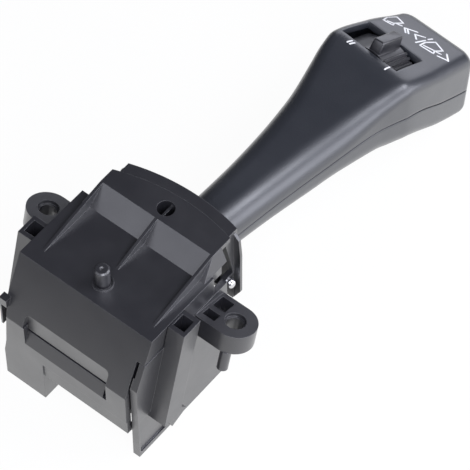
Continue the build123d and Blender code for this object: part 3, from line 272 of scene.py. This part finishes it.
def face_matrix():
    """Frame of the wheel's window: x across the lever, y out of the face, z down its slope, in metres."""
    tilt, turn = sizes().face_angle, sizes().rest_angle
    middle = (WINDOW_S[0] + WINDOW_S[1]) / 2
    across = Vector((sin(turn), cos(turn), 0))
    along = Vector((cos(turn), -sin(turn), 0)) * cos(tilt) - Vector((0, 0, 1)) * sin(tilt)
    out = along.cross(across)
    place = lever_point(middle, 0, station_value(middle, 1))
    columns = Matrix((across, out, along)).transposed().to_4x4()
    return Matrix.Translation(place) @ columns


def station_value(s, column, rows=STATIONS):
    """Smooth curve without overshoot through one column of the stations."""
    places = [row[0] for row in rows]
    values = [row[column] for row in rows]
    if s <= places[0]:
        return values[0]
    if s >= places[-1]:
        return values[-1]
    spans = range(len(places) - 1)
    slopes = [(values[i + 1] - values[i]) / (places[i + 1] - places[i]) for i in spans]
    tangents = [slopes[0]]
    for before, after in zip(slopes, slopes[1:]):
        tangents.append(0.0 if before * after <= 0 else 2 * before * after / (before + after))
    tangents.append(slopes[-1])
    i = max(k for k in spans if places[k] <= s)
    span = places[i + 1] - places[i]
    t = (s - places[i]) / span
    value = values[i] * (1 + 2 * t) * (1 - t) ** 2 + values[i + 1] * t * t * (3 - 2 * t)
    return value + span * (tangents[i] * t * (1 - t) ** 2 + tangents[i + 1] * t * t * (t - 1))


def smooth_step(low, high, x):
    """0 below low, 1 above high, smooth between."""
    t = min(1.0, max(0.0, (x - low) / (high - low)))
    return t * t * (3 - 2 * t)


def add_node(tree, kind, links=None, **settings):
    """Add a shader node, set its settings, and link or set its inputs."""
    node = tree.nodes.new(kind)
    for key, value in settings.items():
        setattr(node, key, value)
    for key, source in (links or {}).items():
        if isinstance(source, bpy.types.NodeSocket):
            tree.links.new(source, node.inputs[key])
        else:
            node.inputs[key].default_value = source
    return node


def moulded_plastic(name, roughness, grain_mm, grain_depth, edge_mm, skin=0.0, cloud=0.05, edge_highlight=0.35):
    """Injection-moulded plastic: etched grain, cloudy gloss, and edges made paler by a painted highlight."""
    material = bpy.data.materials.new("finish_" + name)
    material.use_nodes = True
    tree = material.node_tree
    shader = tree.nodes["Principled BSDF"]
    base = list(getattr(bpy.context.scene.stalk_switch_colours, name)) + [1.0]
    place = add_node(tree, "ShaderNodeTexCoord").outputs["Object"]
    # Cells and fine noise are drawn a little coarser than the tool's spark grain so that they show
    cells = add_node(tree, "ShaderNodeTexVoronoi", {"Vector": place, "Scale": 1 / (grain_mm * MM)})
    fine = add_node(tree, "ShaderNodeTexNoise", {"Vector": place, "Scale": 0.6 / (grain_mm * MM), "Detail": 4.0})
    height = add_node(tree, "ShaderNodeMath", {0: cells.outputs["Distance"], 1: fine.outputs["Fac"]}, operation="ADD")
    rounded = add_node(tree, "ShaderNodeBevel", {"Radius": edge_mm * MM}, samples=6)
    bump = add_node(
        tree,
        "ShaderNodeBump",
        {
            "Height": height.outputs[0],
            "Strength": 0.4,
            "Distance": grain_depth * MM,
            "Normal": rounded.outputs["Normal"],
        },
    )
    # Flow of the melt leaves patches of slightly different gloss, some 12 mm wide
    patches = add_node(tree, "ShaderNodeTexNoise", {"Vector": place, "Scale": 1 / (12 * MM), "Detail": 3.0})
    gloss = add_node(
        tree,
        "ShaderNodeMapRange",
        {
            "Value": patches.outputs["Fac"],
            "From Min": 0.3,
            "From Max": 0.7,
            "To Min": roughness - cloud,
            "To Max": roughness + cloud,
        },
    )
    # The rounded normal leaves the true one only near an edge, where a painted highlight makes the skin paler
    true_normal = add_node(tree, "ShaderNodeNewGeometry").outputs["True Normal"]
    turn = add_node(
        tree, "ShaderNodeVectorMath", {0: rounded.outputs["Normal"], 1: true_normal}, operation="DOT_PRODUCT"
    )
    edge = add_node(
        tree,
        "ShaderNodeMapRange",
        {"Value": turn.outputs["Value"], "From Min": 0.97, "From Max": 0.75, "To Min": 0.0, "To Max": edge_highlight},
    )
    # Painted highlight: the base colour made paler, mixed in near edges by the mask above
    highlight_colour = [min(1.0, value * 1.3 + 0.05) for value in base[:3]] + [1.0]
    speckle = add_node(tree, "ShaderNodeMix", {"Factor": fine.outputs["Fac"]}, data_type="RGBA")
    speckle.inputs[6].default_value = [value * 0.9 for value in base[:3]] + [1.0]
    speckle.inputs[7].default_value = [min(1.0, value * 1.1) for value in base[:3]] + [1.0]
    highlighted = add_node(tree, "ShaderNodeMix", {"Factor": edge.outputs[0], 6: speckle.outputs[2]}, data_type="RGBA")
    highlighted.inputs[7].default_value = highlight_colour
    tree.links.new(highlighted.outputs[2], shader.inputs["Base Color"])
    tree.links.new(gloss.outputs[0], shader.inputs["Roughness"])
    tree.links.new(bump.outputs["Normal"], shader.inputs["Normal"])
    shader.inputs["IOR"].default_value = 1.55
    shader.inputs["Specular IOR Level"].default_value = 0.5 + skin / 2
    # The tool's polish leaves a resin-rich skin over the fibres, which adds sheen at a low angle
    shader.inputs["Coat Weight"].default_value = skin
    shader.inputs["Coat Roughness"].default_value = 0.33
    return material


def worked_metal(name, roughness, scratch_mm):
    """Drawn or turned metal with fine streaks."""
    material = bpy.data.materials.new("finish_" + name)
    material.use_nodes = True
    tree = material.node_tree
    shader = tree.nodes["Principled BSDF"]
    place = add_node(tree, "ShaderNodeTexCoord").outputs["Object"]
    streaks = add_node(tree, "ShaderNodeTexNoise", {"Vector": place, "Scale": 1 / (scratch_mm * MM), "Detail": 6.0})
    gloss = add_node(
        tree,
        "ShaderNodeMapRange",
        {
            "Value": streaks.outputs["Fac"],
            "From Min": 0.3,
            "From Max": 0.7,
            "To Min": roughness * 0.7,
            "To Max": roughness * 1.4,
        },
    )
    bump = add_node(
        tree, "ShaderNodeBump", {"Height": streaks.outputs["Fac"], "Strength": 0.3, "Distance": 0.03 * MM}
    )
    shader.inputs["Base Color"].default_value = list(getattr(bpy.context.scene.stalk_switch_colours, name)) + [1.0]
    shader.inputs["Metallic"].default_value = 1.0
    tree.links.new(gloss.outputs[0], shader.inputs["Roughness"])
    tree.links.new(bump.outputs["Normal"], shader.inputs["Normal"])
    return material


def printed_ink(name):
    """Pad-printed two-part ink, satin and slightly uneven."""
    material = bpy.data.materials.new("finish_" + name)
    material.use_nodes = True
    tree = material.node_tree
    shader = tree.nodes["Principled BSDF"]
    place = add_node(tree, "ShaderNodeTexCoord").outputs["Object"]
    # The pad leaves specks of thinner ink about 0.3 mm wide
    specks = add_node(tree, "ShaderNodeTexNoise", {"Vector": place, "Scale": 1 / (0.3 * MM), "Detail": 3.0})
    colour = list(bpy.context.scene.stalk_switch_colours.ink) + [1.0]
    tint = add_node(tree, "ShaderNodeMix", {"Factor": specks.outputs["Fac"]}, data_type="RGBA")
    tint.inputs[6].default_value = [value * 0.85 for value in colour[:3]] + [1.0]
    tint.inputs[7].default_value = colour
    gloss = add_node(tree, "ShaderNodeMapRange", {"Value": specks.outputs["Fac"], "To Min": 0.35, "To Max": 0.6})
    tree.links.new(tint.outputs[2], shader.inputs["Base Color"])
    tree.links.new(gloss.outputs[0], shader.inputs["Roughness"])
    return material


def finish_of(name):
    """The named finish, made on first use."""
    known = bpy.data.materials.get("finish_" + name)
    if known:
        return known
    # The last argument of each plastic below sets the strength of its painted edge highlight
    if name == "moulded_black":
        # Glass-filled nylon from a spark-eroded tool: even satin, with a painted highlight that makes its crisp ribs
        # paler
        return moulded_plastic(name, 0.4, 0.35, 0.02, 0.3, skin=0.8, edge_highlight=0.6)
    if name == "grained_black":
        # Soft-feel ABS with a fine leather grain: soft broad sheen
        return moulded_plastic(name, 0.42, 0.5, 0.06, 0.15, skin=0.7, cloud=0.03, edge_highlight=0.0)
    if name == "wheel_black":
        # Acetal wheel, smoother than the stalk round it
        return moulded_plastic(name, 0.34, 0.3, 0.015, 0.25, skin=0.7, edge_highlight=0.6)
    if name == "grey_nylon":
        # Unfilled nylon, dull and slightly mottled
        return moulded_plastic(name, 0.5, 0.4, 0.015, 0.2, edge_highlight=0.1)
    if name == "white_acetal":
        # Natural acetal, waxy white
        return moulded_plastic(name, 0.35, 0.5, 0.01, 0.2, edge_highlight=0.1)
    if name == "board":
        # Solder mask over woven glass, its weave just showing
        return moulded_plastic(name, 0.32, 0.6, 0.02, 0.1, edge_highlight=0.2)
    if name == "tin_plated_brass":
        # Matt tin over stamped brass
        return worked_metal(name, 0.28, 0.3)
    if name == "contact_metal":
        # Rolled phosphor bronze
        return worked_metal(name, 0.3, 0.25)
    if name == "bright_steel":
        # Polished steel, bright with small facets of reflection
        return worked_metal(name, 0.14, 0.9)
    if name == "spring_steel":
        # Drawn music wire, greyer
        return worked_metal(name, 0.3, 0.2)
    if name == "dark_screw":
        # Blackened steel, dull
        return worked_metal(name, 0.4, 0.2)
    return printed_ink(name)


def new_piece(name, bm, finish, body, replaces=None, smooth_angle=35):
    """Turn a bmesh into a smooth-shaded piece that rides on a body."""
    bmesh.ops.recalc_face_normals(bm, faces=bm.faces)
    for face in bm.faces:
        face.smooth = True
    for edge in bm.edges:
        if len(edge.link_faces) == 2:
            edge.smooth = edge.calc_face_angle(0.0) < radians(smooth_angle)
    mesh = bpy.data.meshes.new(name)
    bm.to_mesh(mesh)
    bm.free()
    mesh.materials.append(finish_of(finish))
    piece = bpy.data.objects.new(name, mesh)
    bpy.context.scene.collection.objects.link(piece)
    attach(piece, body)
    if replaces:
        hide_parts(replaces)
    return piece


def stalk_ring(s):
    """Section of the stalk at s, drawn in along a quarter round at the tip."""
    start, reach = STATIONS[-1][0], sizes().tip_length / MM
    place = min(s, start)
    inset = reach - sqrt(max(0.0, reach * reach - max(0.0, s - start) ** 2))
    top, bottom, wide, top_radius, bottom_radius = [station_value(place, column) for column in range(1, 6)]
    return {
        "s": s,
        "top": top - inset - max(0.0, s - start) * tan(sizes().face_angle),
        "bottom": bottom + inset * TIP_UNDER,
        "wide": wide - inset,
        "top_radius": top_radius,
        "bottom_radius": max(LEAST_ROUND, bottom_radius - inset),
        "skew": sizes().tip_skew * smooth_step(WINDOW_S[1], start, s),
        "lean": sizes().tip_lean * smooth_step(LEAN_START, start, s),
        "shift": HEAD_SHIFT * smooth_step(*SHIFT_RISE, s) * (1 - SHIFT_FALL_SHARE * smooth_step(SHIFT_FALL, start, s)),
    }


def skin_height(ring, across):
    """Height of the upper skin at a distance across."""
    over = abs(across) - (ring["wide"] - ring["top_radius"])
    if over <= 0:
        return ring["top"]
    return ring["top"] - ring["top_radius"] + sqrt(max(0.0, ring["top_radius"] ** 2 - over * over))


def skewed_height(s, across):
    """Height of the upper skin at a place along and across the lever, whose rings are turned."""
    ring = stalk_ring(s)
    for _ in range(3):
        ring = stalk_ring(s + across * tan(ring["skew"]))
    return skin_height(ring, (across - ring["shift"]) / cos(ring["skew"]))


def ring_point(ring, across, z):
    """A point of a ring, turned by its skew, leant back under the head and shifted to the left."""
    back = across * sin(ring["skew"]) + (ring["top"] - z) * tan(ring["lean"])
    return lever_point(ring["s"] - back, across * cos(ring["skew"]) + ring["shift"], z)


def upper_outline(ring, seam_z):
    """Section of the upper shell from the left seam over the top to the right seam."""
    wide, radius = ring["wide"], ring["top_radius"]
    arc_foot = ring["top"] - radius
    heights = [seam_z + (arc_foot - seam_z) * i / SIDE_STEPS for i in range(SIDE_STEPS + 1)]
    side = [(side_width(ring, z), z) for z in heights]
    for i in range(1, ROUND_STEPS + 1):
        turn = radians(ROUND_TURN * i / (ROUND_STEPS + 1))
        side.append((wide - radius + radius * cos(turn), arc_foot + radius * sin(turn)))
    edge = wide - radius + radius * cos(radians(ROUND_TURN))
    near = smooth_step(*GATHER, ring["s"]) * (1 - smooth_step(*PART, ring["s"]))
    # The window's left end slants out towards the stalk's root
    slant = WINDOW_SLANT * (1 - smooth_step(*WINDOW_S, ring["s"]))
    left = edge * 0.83 * (1 - near) + (WINDOW_L[1] + slant) * near
    right = -edge * 0.55 * (1 - near) + WINDOW_L[0] * near
    columns = [edge + (left - edge) * i / RIM_COLUMNS for i in range(RIM_COLUMNS + 1)]
    columns += [left + (right - left) * i / WINDOW_COLUMNS for i in range(1, WINDOW_COLUMNS + 1)]
    columns += [right + (-edge - right) * i / RIGHT_COLUMNS for i in range(1, RIGHT_COLUMNS + 1)]
    middle = [(across, skin_height(ring, across)) for across in columns]
    return side + middle + [(-across, z) for across, z in reversed(side)]


def side_width(ring, z):
    """Half width of a section at a height below its top round."""
    radius = ring["bottom_radius"]
    under = ring["bottom"] + radius - z
    if under <= 0:
        return ring["wide"]
    return ring["wide"] - radius + sqrt(max(0.0, radius * radius - under * under))


def lower_outline(ring, seam_z):
    """Section of the lower shell from the left seam round the bottom to the right seam."""
    wide, radius = ring["wide"], ring["bottom_radius"]
    arc_top = ring["bottom"] + radius
    straight = max(0.0, seam_z - arc_top)
    first_turn = asin(min(1.0, max(0.0, arc_top - seam_z) / radius))
    length = straight + radius * (pi / 2 - first_turn)
    side = []
    for i in range(LOWER_STEPS + 1):
        along = length * i / LOWER_STEPS
        turn = first_turn + max(0.0, along - straight) / radius
        down = min(along, straight)
        side.append((wide - radius + radius * cos(turn), arc_top + straight - down - radius * sin(turn)))
    flat = [((wide - radius) * (1 - i / 3), ring["bottom"]) for i in range(1, 6)]
    return side + flat + [(-across, z) for across, z in reversed(side)]


def with_lips(outline, tongue=0.0):
    """An outline whose ends fold in behind the parting line, and rise there as a tongue of that height."""
    points = list(outline)
    for end, inner in ((0, 1), (-1, -2)):
        across, z = points[end]
        inward = -1 if across > 0 else 1
        rise = 1 if points[inner][1] > z else -1
        fold = [(across + inward * LIP_DEPTH, z), (across + inward * LIP_ROUND, z)]
        fold.append((across + inward * LIP_CORNER, z + LIP_CORNER * rise))
        if tongue:
            fold.insert(0, (across + inward * TONGUE_DEPTH, z + tongue))
        points[end] = (across, z + LIP_ROUND * rise)
        points = fold + points if end == 0 else points + fold[::-1]
    return points


def ring_places():
    """Stations of the skin's rings, with one on each edge of the window."""
    before = int((WINDOW_S[0] - STATIONS[0][0]) / 1.5)
    places = [STATIONS[0][0] + (WINDOW_S[0] - STATIONS[0][0]) * i / before for i in range(before)]
    places += [WINDOW_S[0] + (WINDOW_S[1] - WINDOW_S[0]) * i / 10 for i in range(11)]
    places += [WINDOW_S[1] + (STATIONS[-1][0] - WINDOW_S[1]) * i / 12 for i in range(1, 12)]
    return places + [STATIONS[-1][0] + sizes().tip_length / MM * sin(radians(turn)) for turn in range(0, 81, 8)]


def extruded_skin(rows):
    """Extrude a chain of edges from row to row; gives the bmesh and the rows' vertices."""
    bm = bmesh.new()
    chain = [bm.verts.new(point) for point in rows[0]]
    edges = [bm.edges.new(pair) for pair in zip(chain, chain[1:])]
    vert_rows = [chain]
    for row in rows[1:]:
        grown = set(bmesh.ops.extrude_edge_only(bm, edges=edges)["geom"])
        chain = [next(e.other_vert(v) for e in v.link_edges if e.other_vert(v) in grown) for v in vert_rows[-1]]
        for vert, point in zip(chain, row):
            vert.co = point
        edges = [bm.edges.get(pair) for pair in zip(chain, chain[1:])]
        vert_rows.append(chain)
    return bm, vert_rows


def close_tip(bm, row):
    """Close the last ring with a face that keeps its rim rounded."""
    cap = bm.faces.new(row)
    bmesh.ops.inset_region(bm, faces=[cap], thickness=1.2 * MM, use_even_offset=True)


def fold_root(bm, row):
    """Fold the skin's first ring in towards the lever's core."""
    edges = [bm.edges.get(pair) for pair in zip(row, row[1:])]
    grown = bmesh.ops.extrude_edge_only(bm, edges=edges)["geom"]
    inner = [item for item in grown if isinstance(item, bmesh.types.BMVert)]
    centre = lever_point(STATIONS[0][0], 0, SEAM[0][1])
    bmesh.ops.scale(bm, vec=(0.7, 0.7, 0.7), space=Matrix.Translation(-centre), verts=inner)


def cut_window(bm, rows, places):
    """Open the wheel's window in the upper skin and give it a rounded wall."""
    first = min(range(len(places)), key=lambda i: abs(places[i] - WINDOW_S[0]))
    last = min(range(len(places)), key=lambda i: abs(places[i] - WINDOW_S[1]))
    start = FOLD_POINTS + SIDE_STEPS + 1 + ROUND_STEPS + RIM_COLUMNS
    inside = {vert for row in rows[first : last + 1] for vert in row[start : start + WINDOW_COLUMNS + 1]}
    hole = [face for face in bm.faces if all(vert in inside for vert in face.verts)]
    bmesh.ops.delete(bm, geom=hole, context="FACES")
    rim = [edge for edge in bm.edges if edge.is_boundary and all(vert in inside for vert in edge.verts)]
    out = face_matrix().col[1].to_3d()
    grown = bmesh.ops.extrude_edge_only(bm, edges=rim)["geom"]
    wall = [item for item in grown if isinstance(item, bmesh.types.BMVert)]
    bmesh.ops.translate(bm, vec=out * -sizes().window_depth, verts=wall)
    bmesh.ops.bevel(
        bm,
        geom=[edge for edge in rim if edge.is_valid],
        offset=sizes().window_round,
        segments=2,
        profile=0.5,
        affect="EDGES",
        material=-1,
    )


def drum_outline():
    """Closed outline of the wheel seen along its axle, in metres about the axle: across, out."""
    radius = sizes().drum_radius / MM
    ridges = [RIDGE_FIRST + RIDGE_PITCH * i for i in range(sizes().ridge_count)]
    outer = []
    angle = DRUM_ENDS[0]
    while angle <= DRUM_ENDS[1]:
        nearest = min([abs(angle - ridge) for ridge in ridges] + [RIDGE_HALF_WIDTH])
        rise = RIDGE_HEIGHT * min(1.0, RIDGE_FLANK * max(0.0, cos(nearest / RIDGE_HALF_WIDTH * pi / 2)))
        # Its smooth half flattens out past the wheel's travel, so that it never rises over the face
        reach = radius / cos(radians(max(0.0, -angle - DRUM_TRAVEL))) + rise
        outer.append((-reach * sin(radians(angle)), reach * cos(radians(angle))))
        angle += 0.45 if angle > 18 else 3.0
    inner = [(x * DRUM_WALL, y * DRUM_WALL) for x, y in reversed(outer[::3])]
    return [(x * MM, y * MM) for x, y in outer + inner]


class STALKSWITCH_OT_stage(bpy.types.Operator):
    """Build the pale floor, the soft boxes and the camera"""

    bl_idname = "stalk_switch.stage"
    bl_label = "Stage"

    def execute(self, context):
        scene = context.scene
        studio = scene.stalk_switch_studio
        scene.view_settings.view_transform = "Standard"
        self.build_floor(studio)
        self.build_world(scene, studio)
        # Low box at the side, seen in the stalk's flank
        self.soft_box("side_box", (0.3, -1.0, 0.2), 0.62, (1.0, 0.35), studio.side_power)
        # Box behind, seen in the cover's ramps
        self.soft_box("ramp_box", (-0.746, 0.355, 0.564), 0.6, (0.42, 0.34), studio.ramp_power)
        # Small box overhead, which draws the light band along the stalk
        self.soft_box("crown_box", (0.441, -0.5, 0.76), 0.7, (0.35, 0.25), studio.crown_power)
        # Weak box beyond the tip, seen in the head's sloping face
        self.soft_box("tip_box", (0.938, 0.306, 0.168), 0.6, (0.5, 0.3), studio.tip_power)
        # Key box by the camera, which lights the colours without a reflection in the flat faces
        self.soft_box("key_box", (-0.45, -0.5, 0.74), 0.75, (0.45, 0.45), studio.key_power)
        self.build_camera(scene)
        return {"FINISHED"}

    def build_floor(self, studio):
        bm = bmesh.new()
        bmesh.ops.create_grid(bm, x_segments=1, y_segments=1, size=studio.floor_reach)
        mesh = bpy.data.meshes.new("floor")
        bm.to_mesh(mesh)
        bm.free()
        floor = bpy.data.objects.new("floor", mesh)
        floor.location = (0.07, -0.02, cad_box[0][2])
        bpy.context.scene.collection.objects.link(floor)
        # Matt white board: plain white as it is seen, but lit and shadowed underneath that
        material = bpy.data.materials.new("white_board")
        material.use_nodes = True
        tree = material.node_tree
        shader = tree.nodes["Principled BSDF"]
        shader.inputs["Base Color"].default_value = linear("#F4F4F4")
        shader.inputs["Roughness"].default_value = 0.9
        shader.inputs["Specular IOR Level"].default_value = 0.1
        glow = add_node(tree, "ShaderNodeEmission", {"Color": linear("#FFFFFF"), "Strength": 1.0})
        share = add_node(tree, "ShaderNodeMath", {0: seen_ray(tree), 1: studio.floor_glow}, operation="MULTIPLY")
        mixed = add_node(
            tree, "ShaderNodeMixShader", {0: share.outputs[0], 1: shader.outputs[0], 2: glow.outputs[0]}
        )
        tree.links.new(mixed.outputs[0], tree.nodes["Material Output"].inputs["Surface"])
        # Lamps alone sample the light: the board's own white only shows where a ray meets it
        material.cycles.emission_sampling = "NONE"
        mesh.materials.append(material)

    def build_world(self, scene, studio):
        world = bpy.data.worlds.new("studio")
        scene.world = world
        world.use_nodes = True
        tree = world.node_tree
        dark = tree.nodes["Background"]
        dark.inputs["Color"].default_value = linear("#F0F2FA")
        dark.inputs["Strength"].default_value = studio.ceiling
        white = add_node(tree, "ShaderNodeBackground", {"Color": linear("#FFFFFF"), "Strength": 1.0})
        camera_ray = add_node(tree, "ShaderNodeLightPath").outputs["Is Camera Ray"]
        mixed = add_node(tree, "ShaderNodeMixShader", {0: camera_ray, 1: dark.outputs[0], 2: white.outputs[0]})
        tree.links.new(mixed.outputs[0], tree.nodes["World Output"].inputs["Surface"])

    def soft_box(self, name, direction, distance, size, power):
        data = bpy.data.lights.new(name, "AREA")
        data.shape = "RECTANGLE"
        data.size, data.size_y = size
        data.energy = power
        # Daylight tubes, a little cooler than the board
        data.color = linear("#F2F4FF")[:3]
        light = bpy.data.objects.new(name, data)
        light.visible_camera = False
        target = Vector((0.05, 0, -0.02))
        light.location = target + Vector(direction).normalized() * distance
        light.rotation_euler = (target - light.location).to_track_quat("-Z", "Y").to_euler()
        bpy.context.scene.collection.objects.link(light)

    def build_camera(self, scene):
        data = bpy.data.cameras.new("camera")
        data.sensor_width = SENSOR
        data.lens = FOCAL_PIXELS / IMAGE_PIXELS * SENSOR
        data.clip_start = 0.05
        data.clip_end = 10.0
        camera = bpy.data.objects.new("camera", data)
        azimuth, elevation = radians(CAMERA_AZIMUTH), radians(CAMERA_ELEVATION)
        back = Vector((sin(azimuth) * cos(elevation), -cos(azimuth) * cos(elevation), sin(elevation)))
        right = Vector((cos(azimuth), sin(azimuth), 0))
        turn = Matrix((right, back.cross(right), back)).transposed().to_4x4()
        camera.matrix_world = Matrix.Translation(CAMERA_PLACE) @ turn
        scene.collection.objects.link(camera)
        scene.camera = camera


def seen_ray(tree):
    """1 for rays from the camera, a glossy surface or glass, else 0."""
    path = add_node(tree, "ShaderNodeLightPath").outputs
    first = add_node(
        tree, "ShaderNodeMath", {0: path["Is Camera Ray"], 1: path["Is Glossy Ray"]}, operation="MAXIMUM"
    )
    both = add_node(
        tree, "ShaderNodeMath", {0: first.outputs[0], 1: path["Is Transmission Ray"]}, operation="MAXIMUM"
    )
    return both.outputs[0]


class STALKSWITCH_OT_finishes(bpy.types.Operator):
    """Give each CAD piece its finish"""

    bl_idname = "stalk_switch.finishes"
    bl_label = "Finishes"

    def execute(self, context):
        for part in frame["record"]["subparts"]:
            mesh = frame["nodes"][part["node"]].data
            mesh.materials.clear()
            mesh.materials.append(finish_of(part["material_slot"]))
        return {"FINISHED"}


class STALKSWITCH_OT_stalk(bpy.types.Operator):
    """Build the smooth skins of the stalk's two shells"""

    bl_idname = "stalk_switch.stalk"
    bl_label = "Stalk shells"

    def execute(self, context):
        half_gap = sizes().seam_gap / MM / 2
        places = ring_places()
        upper, lower = [], []
        for s in places:
            ring = stalk_ring(s)
            seam_z = max(station_value(s, 1, SEAM), ring["bottom"] + 1.5)
            upper_z = min(seam_z + half_gap, ring["top"] - ring["top_radius"] - 0.5)
            upper.append([ring_point(ring, *point) for point in with_lips(upper_outline(ring, upper_z))])
            lower_z = upper_z - 2 * half_gap
            lower.append([ring_point(ring, *point) for point in with_lips(lower_outline(ring, lower_z), TONGUE_HEIGHT)])
        bm, rows = extruded_skin(upper)
        close_tip(bm, rows[-1])
        fold_root(bm, rows[0])
        cut_window(bm, rows, places)
        new_piece("stalk_upper_skin", bm, "grained_black", "lever", "stalk_upper_shell")
        bm, rows = extruded_skin(lower)
        close_tip(bm, rows[-1])
        fold_root(bm, rows[0])
        new_piece("stalk_lower_skin", bm, "grained_black", "lever", "stalk_lower_shell")
        return {"FINISHED"}


class STALKSWITCH_OT_wheel(bpy.types.Operator):
    """Build the interval wheel with its ridges and finger tab"""

    bl_idname = "stalk_switch.wheel"
    bl_label = "Interval wheel"

    def execute(self, context):
        length, radius = sizes().drum_length, sizes().drum_radius
        bm = bmesh.new()
        outline = bm.faces.new([bm.verts.new((x, y, -length / 2)) for x, y in drum_outline()])
        grown = bmesh.ops.extrude_face_region(bm, geom=[outline])["geom"]
        end = [item for item in grown if isinstance(item, bmesh.types.BMVert)]
        bmesh.ops.translate(bm, vec=(0, 0, length), verts=end)
        # Finger tab, narrower at its top and rounded
        tab = bmesh.ops.create_cube(bm, size=1.0)["verts"]
        bmesh.ops.scale(bm, vec=(TAB_WIDTH * MM, TAB_HEIGHT * MM, length - TAB_ROUND * MM), verts=tab)
        bmesh.ops.translate(bm, vec=(0, radius + TAB_RISE * MM, 0), verts=tab)
        top = [vert for vert in tab if vert.co.y > radius + MM]
        bmesh.ops.scale(bm, vec=(0.86, 1.0, 0.92), verts=top)
        ridge_side = [vert for vert in top if vert.co.x < 0]
        bmesh.ops.translate(bm, vec=(0, TAB_SLANT * MM, 0), verts=ridge_side)
        edges = [edge for edge in bm.edges if all(vert in tab for vert in edge.verts)]
        round_size = TAB_ROUND * MM
        bmesh.ops.bevel(bm, geom=edges, offset=round_size, segments=3, profile=0.5, affect="EDGES", material=-1)
        place = face_matrix() @ Matrix.Translation((sizes().drum_centre, -sizes().drum_depth - radius, 0))
        bmesh.ops.transform(bm, matrix=place, verts=bm.verts)
        new_piece("interval_wheel_skin", bm, "wheel_black", "wheel", "interval_wheel")
        return {"FINISHED"}


class STALKSWITCH_OT_print(bpy.types.Operator):
    """Print the windscreen and arrow pictograms and the wheel's two marks"""

    bl_idname = "stalk_switch.print"
    bl_label = "Print"

    def execute(self, context):
        for name, runs in PRINTS.items():
            bm = bmesh.new()
            for run in runs:
                for start, end in zip(run, run[1:]):
                    self.add_line(bm, Vector(start), Vector(end))
                for point in run:
                    self.add_dot(bm, Vector(point))
            for vert in bm.verts:
                s, across = vert.co.x, vert.co.y
                vert.co = lever_point(s, across, skewed_height(s, across) + sizes().print_lift / MM)
            new_piece("print_" + name, bm, "ink", "lever")
        return {"FINISHED"}

    def add_line(self, bm, start, end):
        """Flat strip between two points, along and across the lever."""
        way = end - start
        grid = bmesh.ops.create_grid(bm, x_segments=6, y_segments=2, size=0.5)["verts"]
        bmesh.ops.scale(bm, vec=(way.length, sizes().print_width / MM, 1), verts=grid)
        middle = ((start + end) / 2).to_3d()
        turn = Matrix.Rotation(Vector((1, 0)).angle_signed(way) * -1, 4, "Z")
        bmesh.ops.transform(bm, matrix=Matrix.Translation(middle) @ turn, verts=grid)

    def add_dot(self, bm, point):
        """Round end or corner of a printed line."""
        radius = sizes().print_width / MM / 2
        place = Matrix.Translation(point.to_3d())
        bmesh.ops.create_circle(bm, cap_ends=True, segments=12, radius=radius, matrix=place)


class STALKSWITCH_PT_panel(bpy.types.Panel):
    """Steps of the build, in their order"""

    bl_label = "Stalk switch"
    bl_idname = "STALKSWITCH_PT_panel"
    bl_space_type = "VIEW_3D"
    bl_region_type = "UI"
    bl_category = "Stalk switch"

    def draw(self, context):
        column = self.layout.column()
        for operator in OPERATORS:
            column.operator(operator.bl_idname)


GROUPS = (
    (StalkSizes, "stalk_switch_sizes"),
    (FinishColours, "stalk_switch_colours"),
    (StudioSettings, "stalk_switch_studio"),
)
OPERATORS = (
    STALKSWITCH_OT_stage,
    STALKSWITCH_OT_finishes,
    STALKSWITCH_OT_stalk,
    STALKSWITCH_OT_wheel,
    STALKSWITCH_OT_print,
)


def register():
    """Register the settings, the operators and the panel."""
    for group, name in GROUPS:
        bpy.utils.register_class(group)
        setattr(bpy.types.Scene, name, PointerProperty(type=group))
    for operator in OPERATORS:
        bpy.utils.register_class(operator)
    bpy.utils.register_class(STALKSWITCH_PT_panel)


def unregister():
    """Take away what register added."""
    bpy.utils.unregister_class(STALKSWITCH_PT_panel)
    for operator in reversed(OPERATORS):
        bpy.utils.unregister_class(operator)
    for group, name in reversed(GROUPS):
        delattr(bpy.types.Scene, name)
        bpy.utils.unregister_class(group)


def main():
    """Build everything in order."""
    register()
    bpy.ops.stalk_switch.stage()
    bpy.ops.stalk_switch.finishes()
    bpy.ops.stalk_switch.stalk()
    bpy.ops.stalk_switch.wheel()
    bpy.ops.stalk_switch.print()


if __name__ == "__main__":
    main()
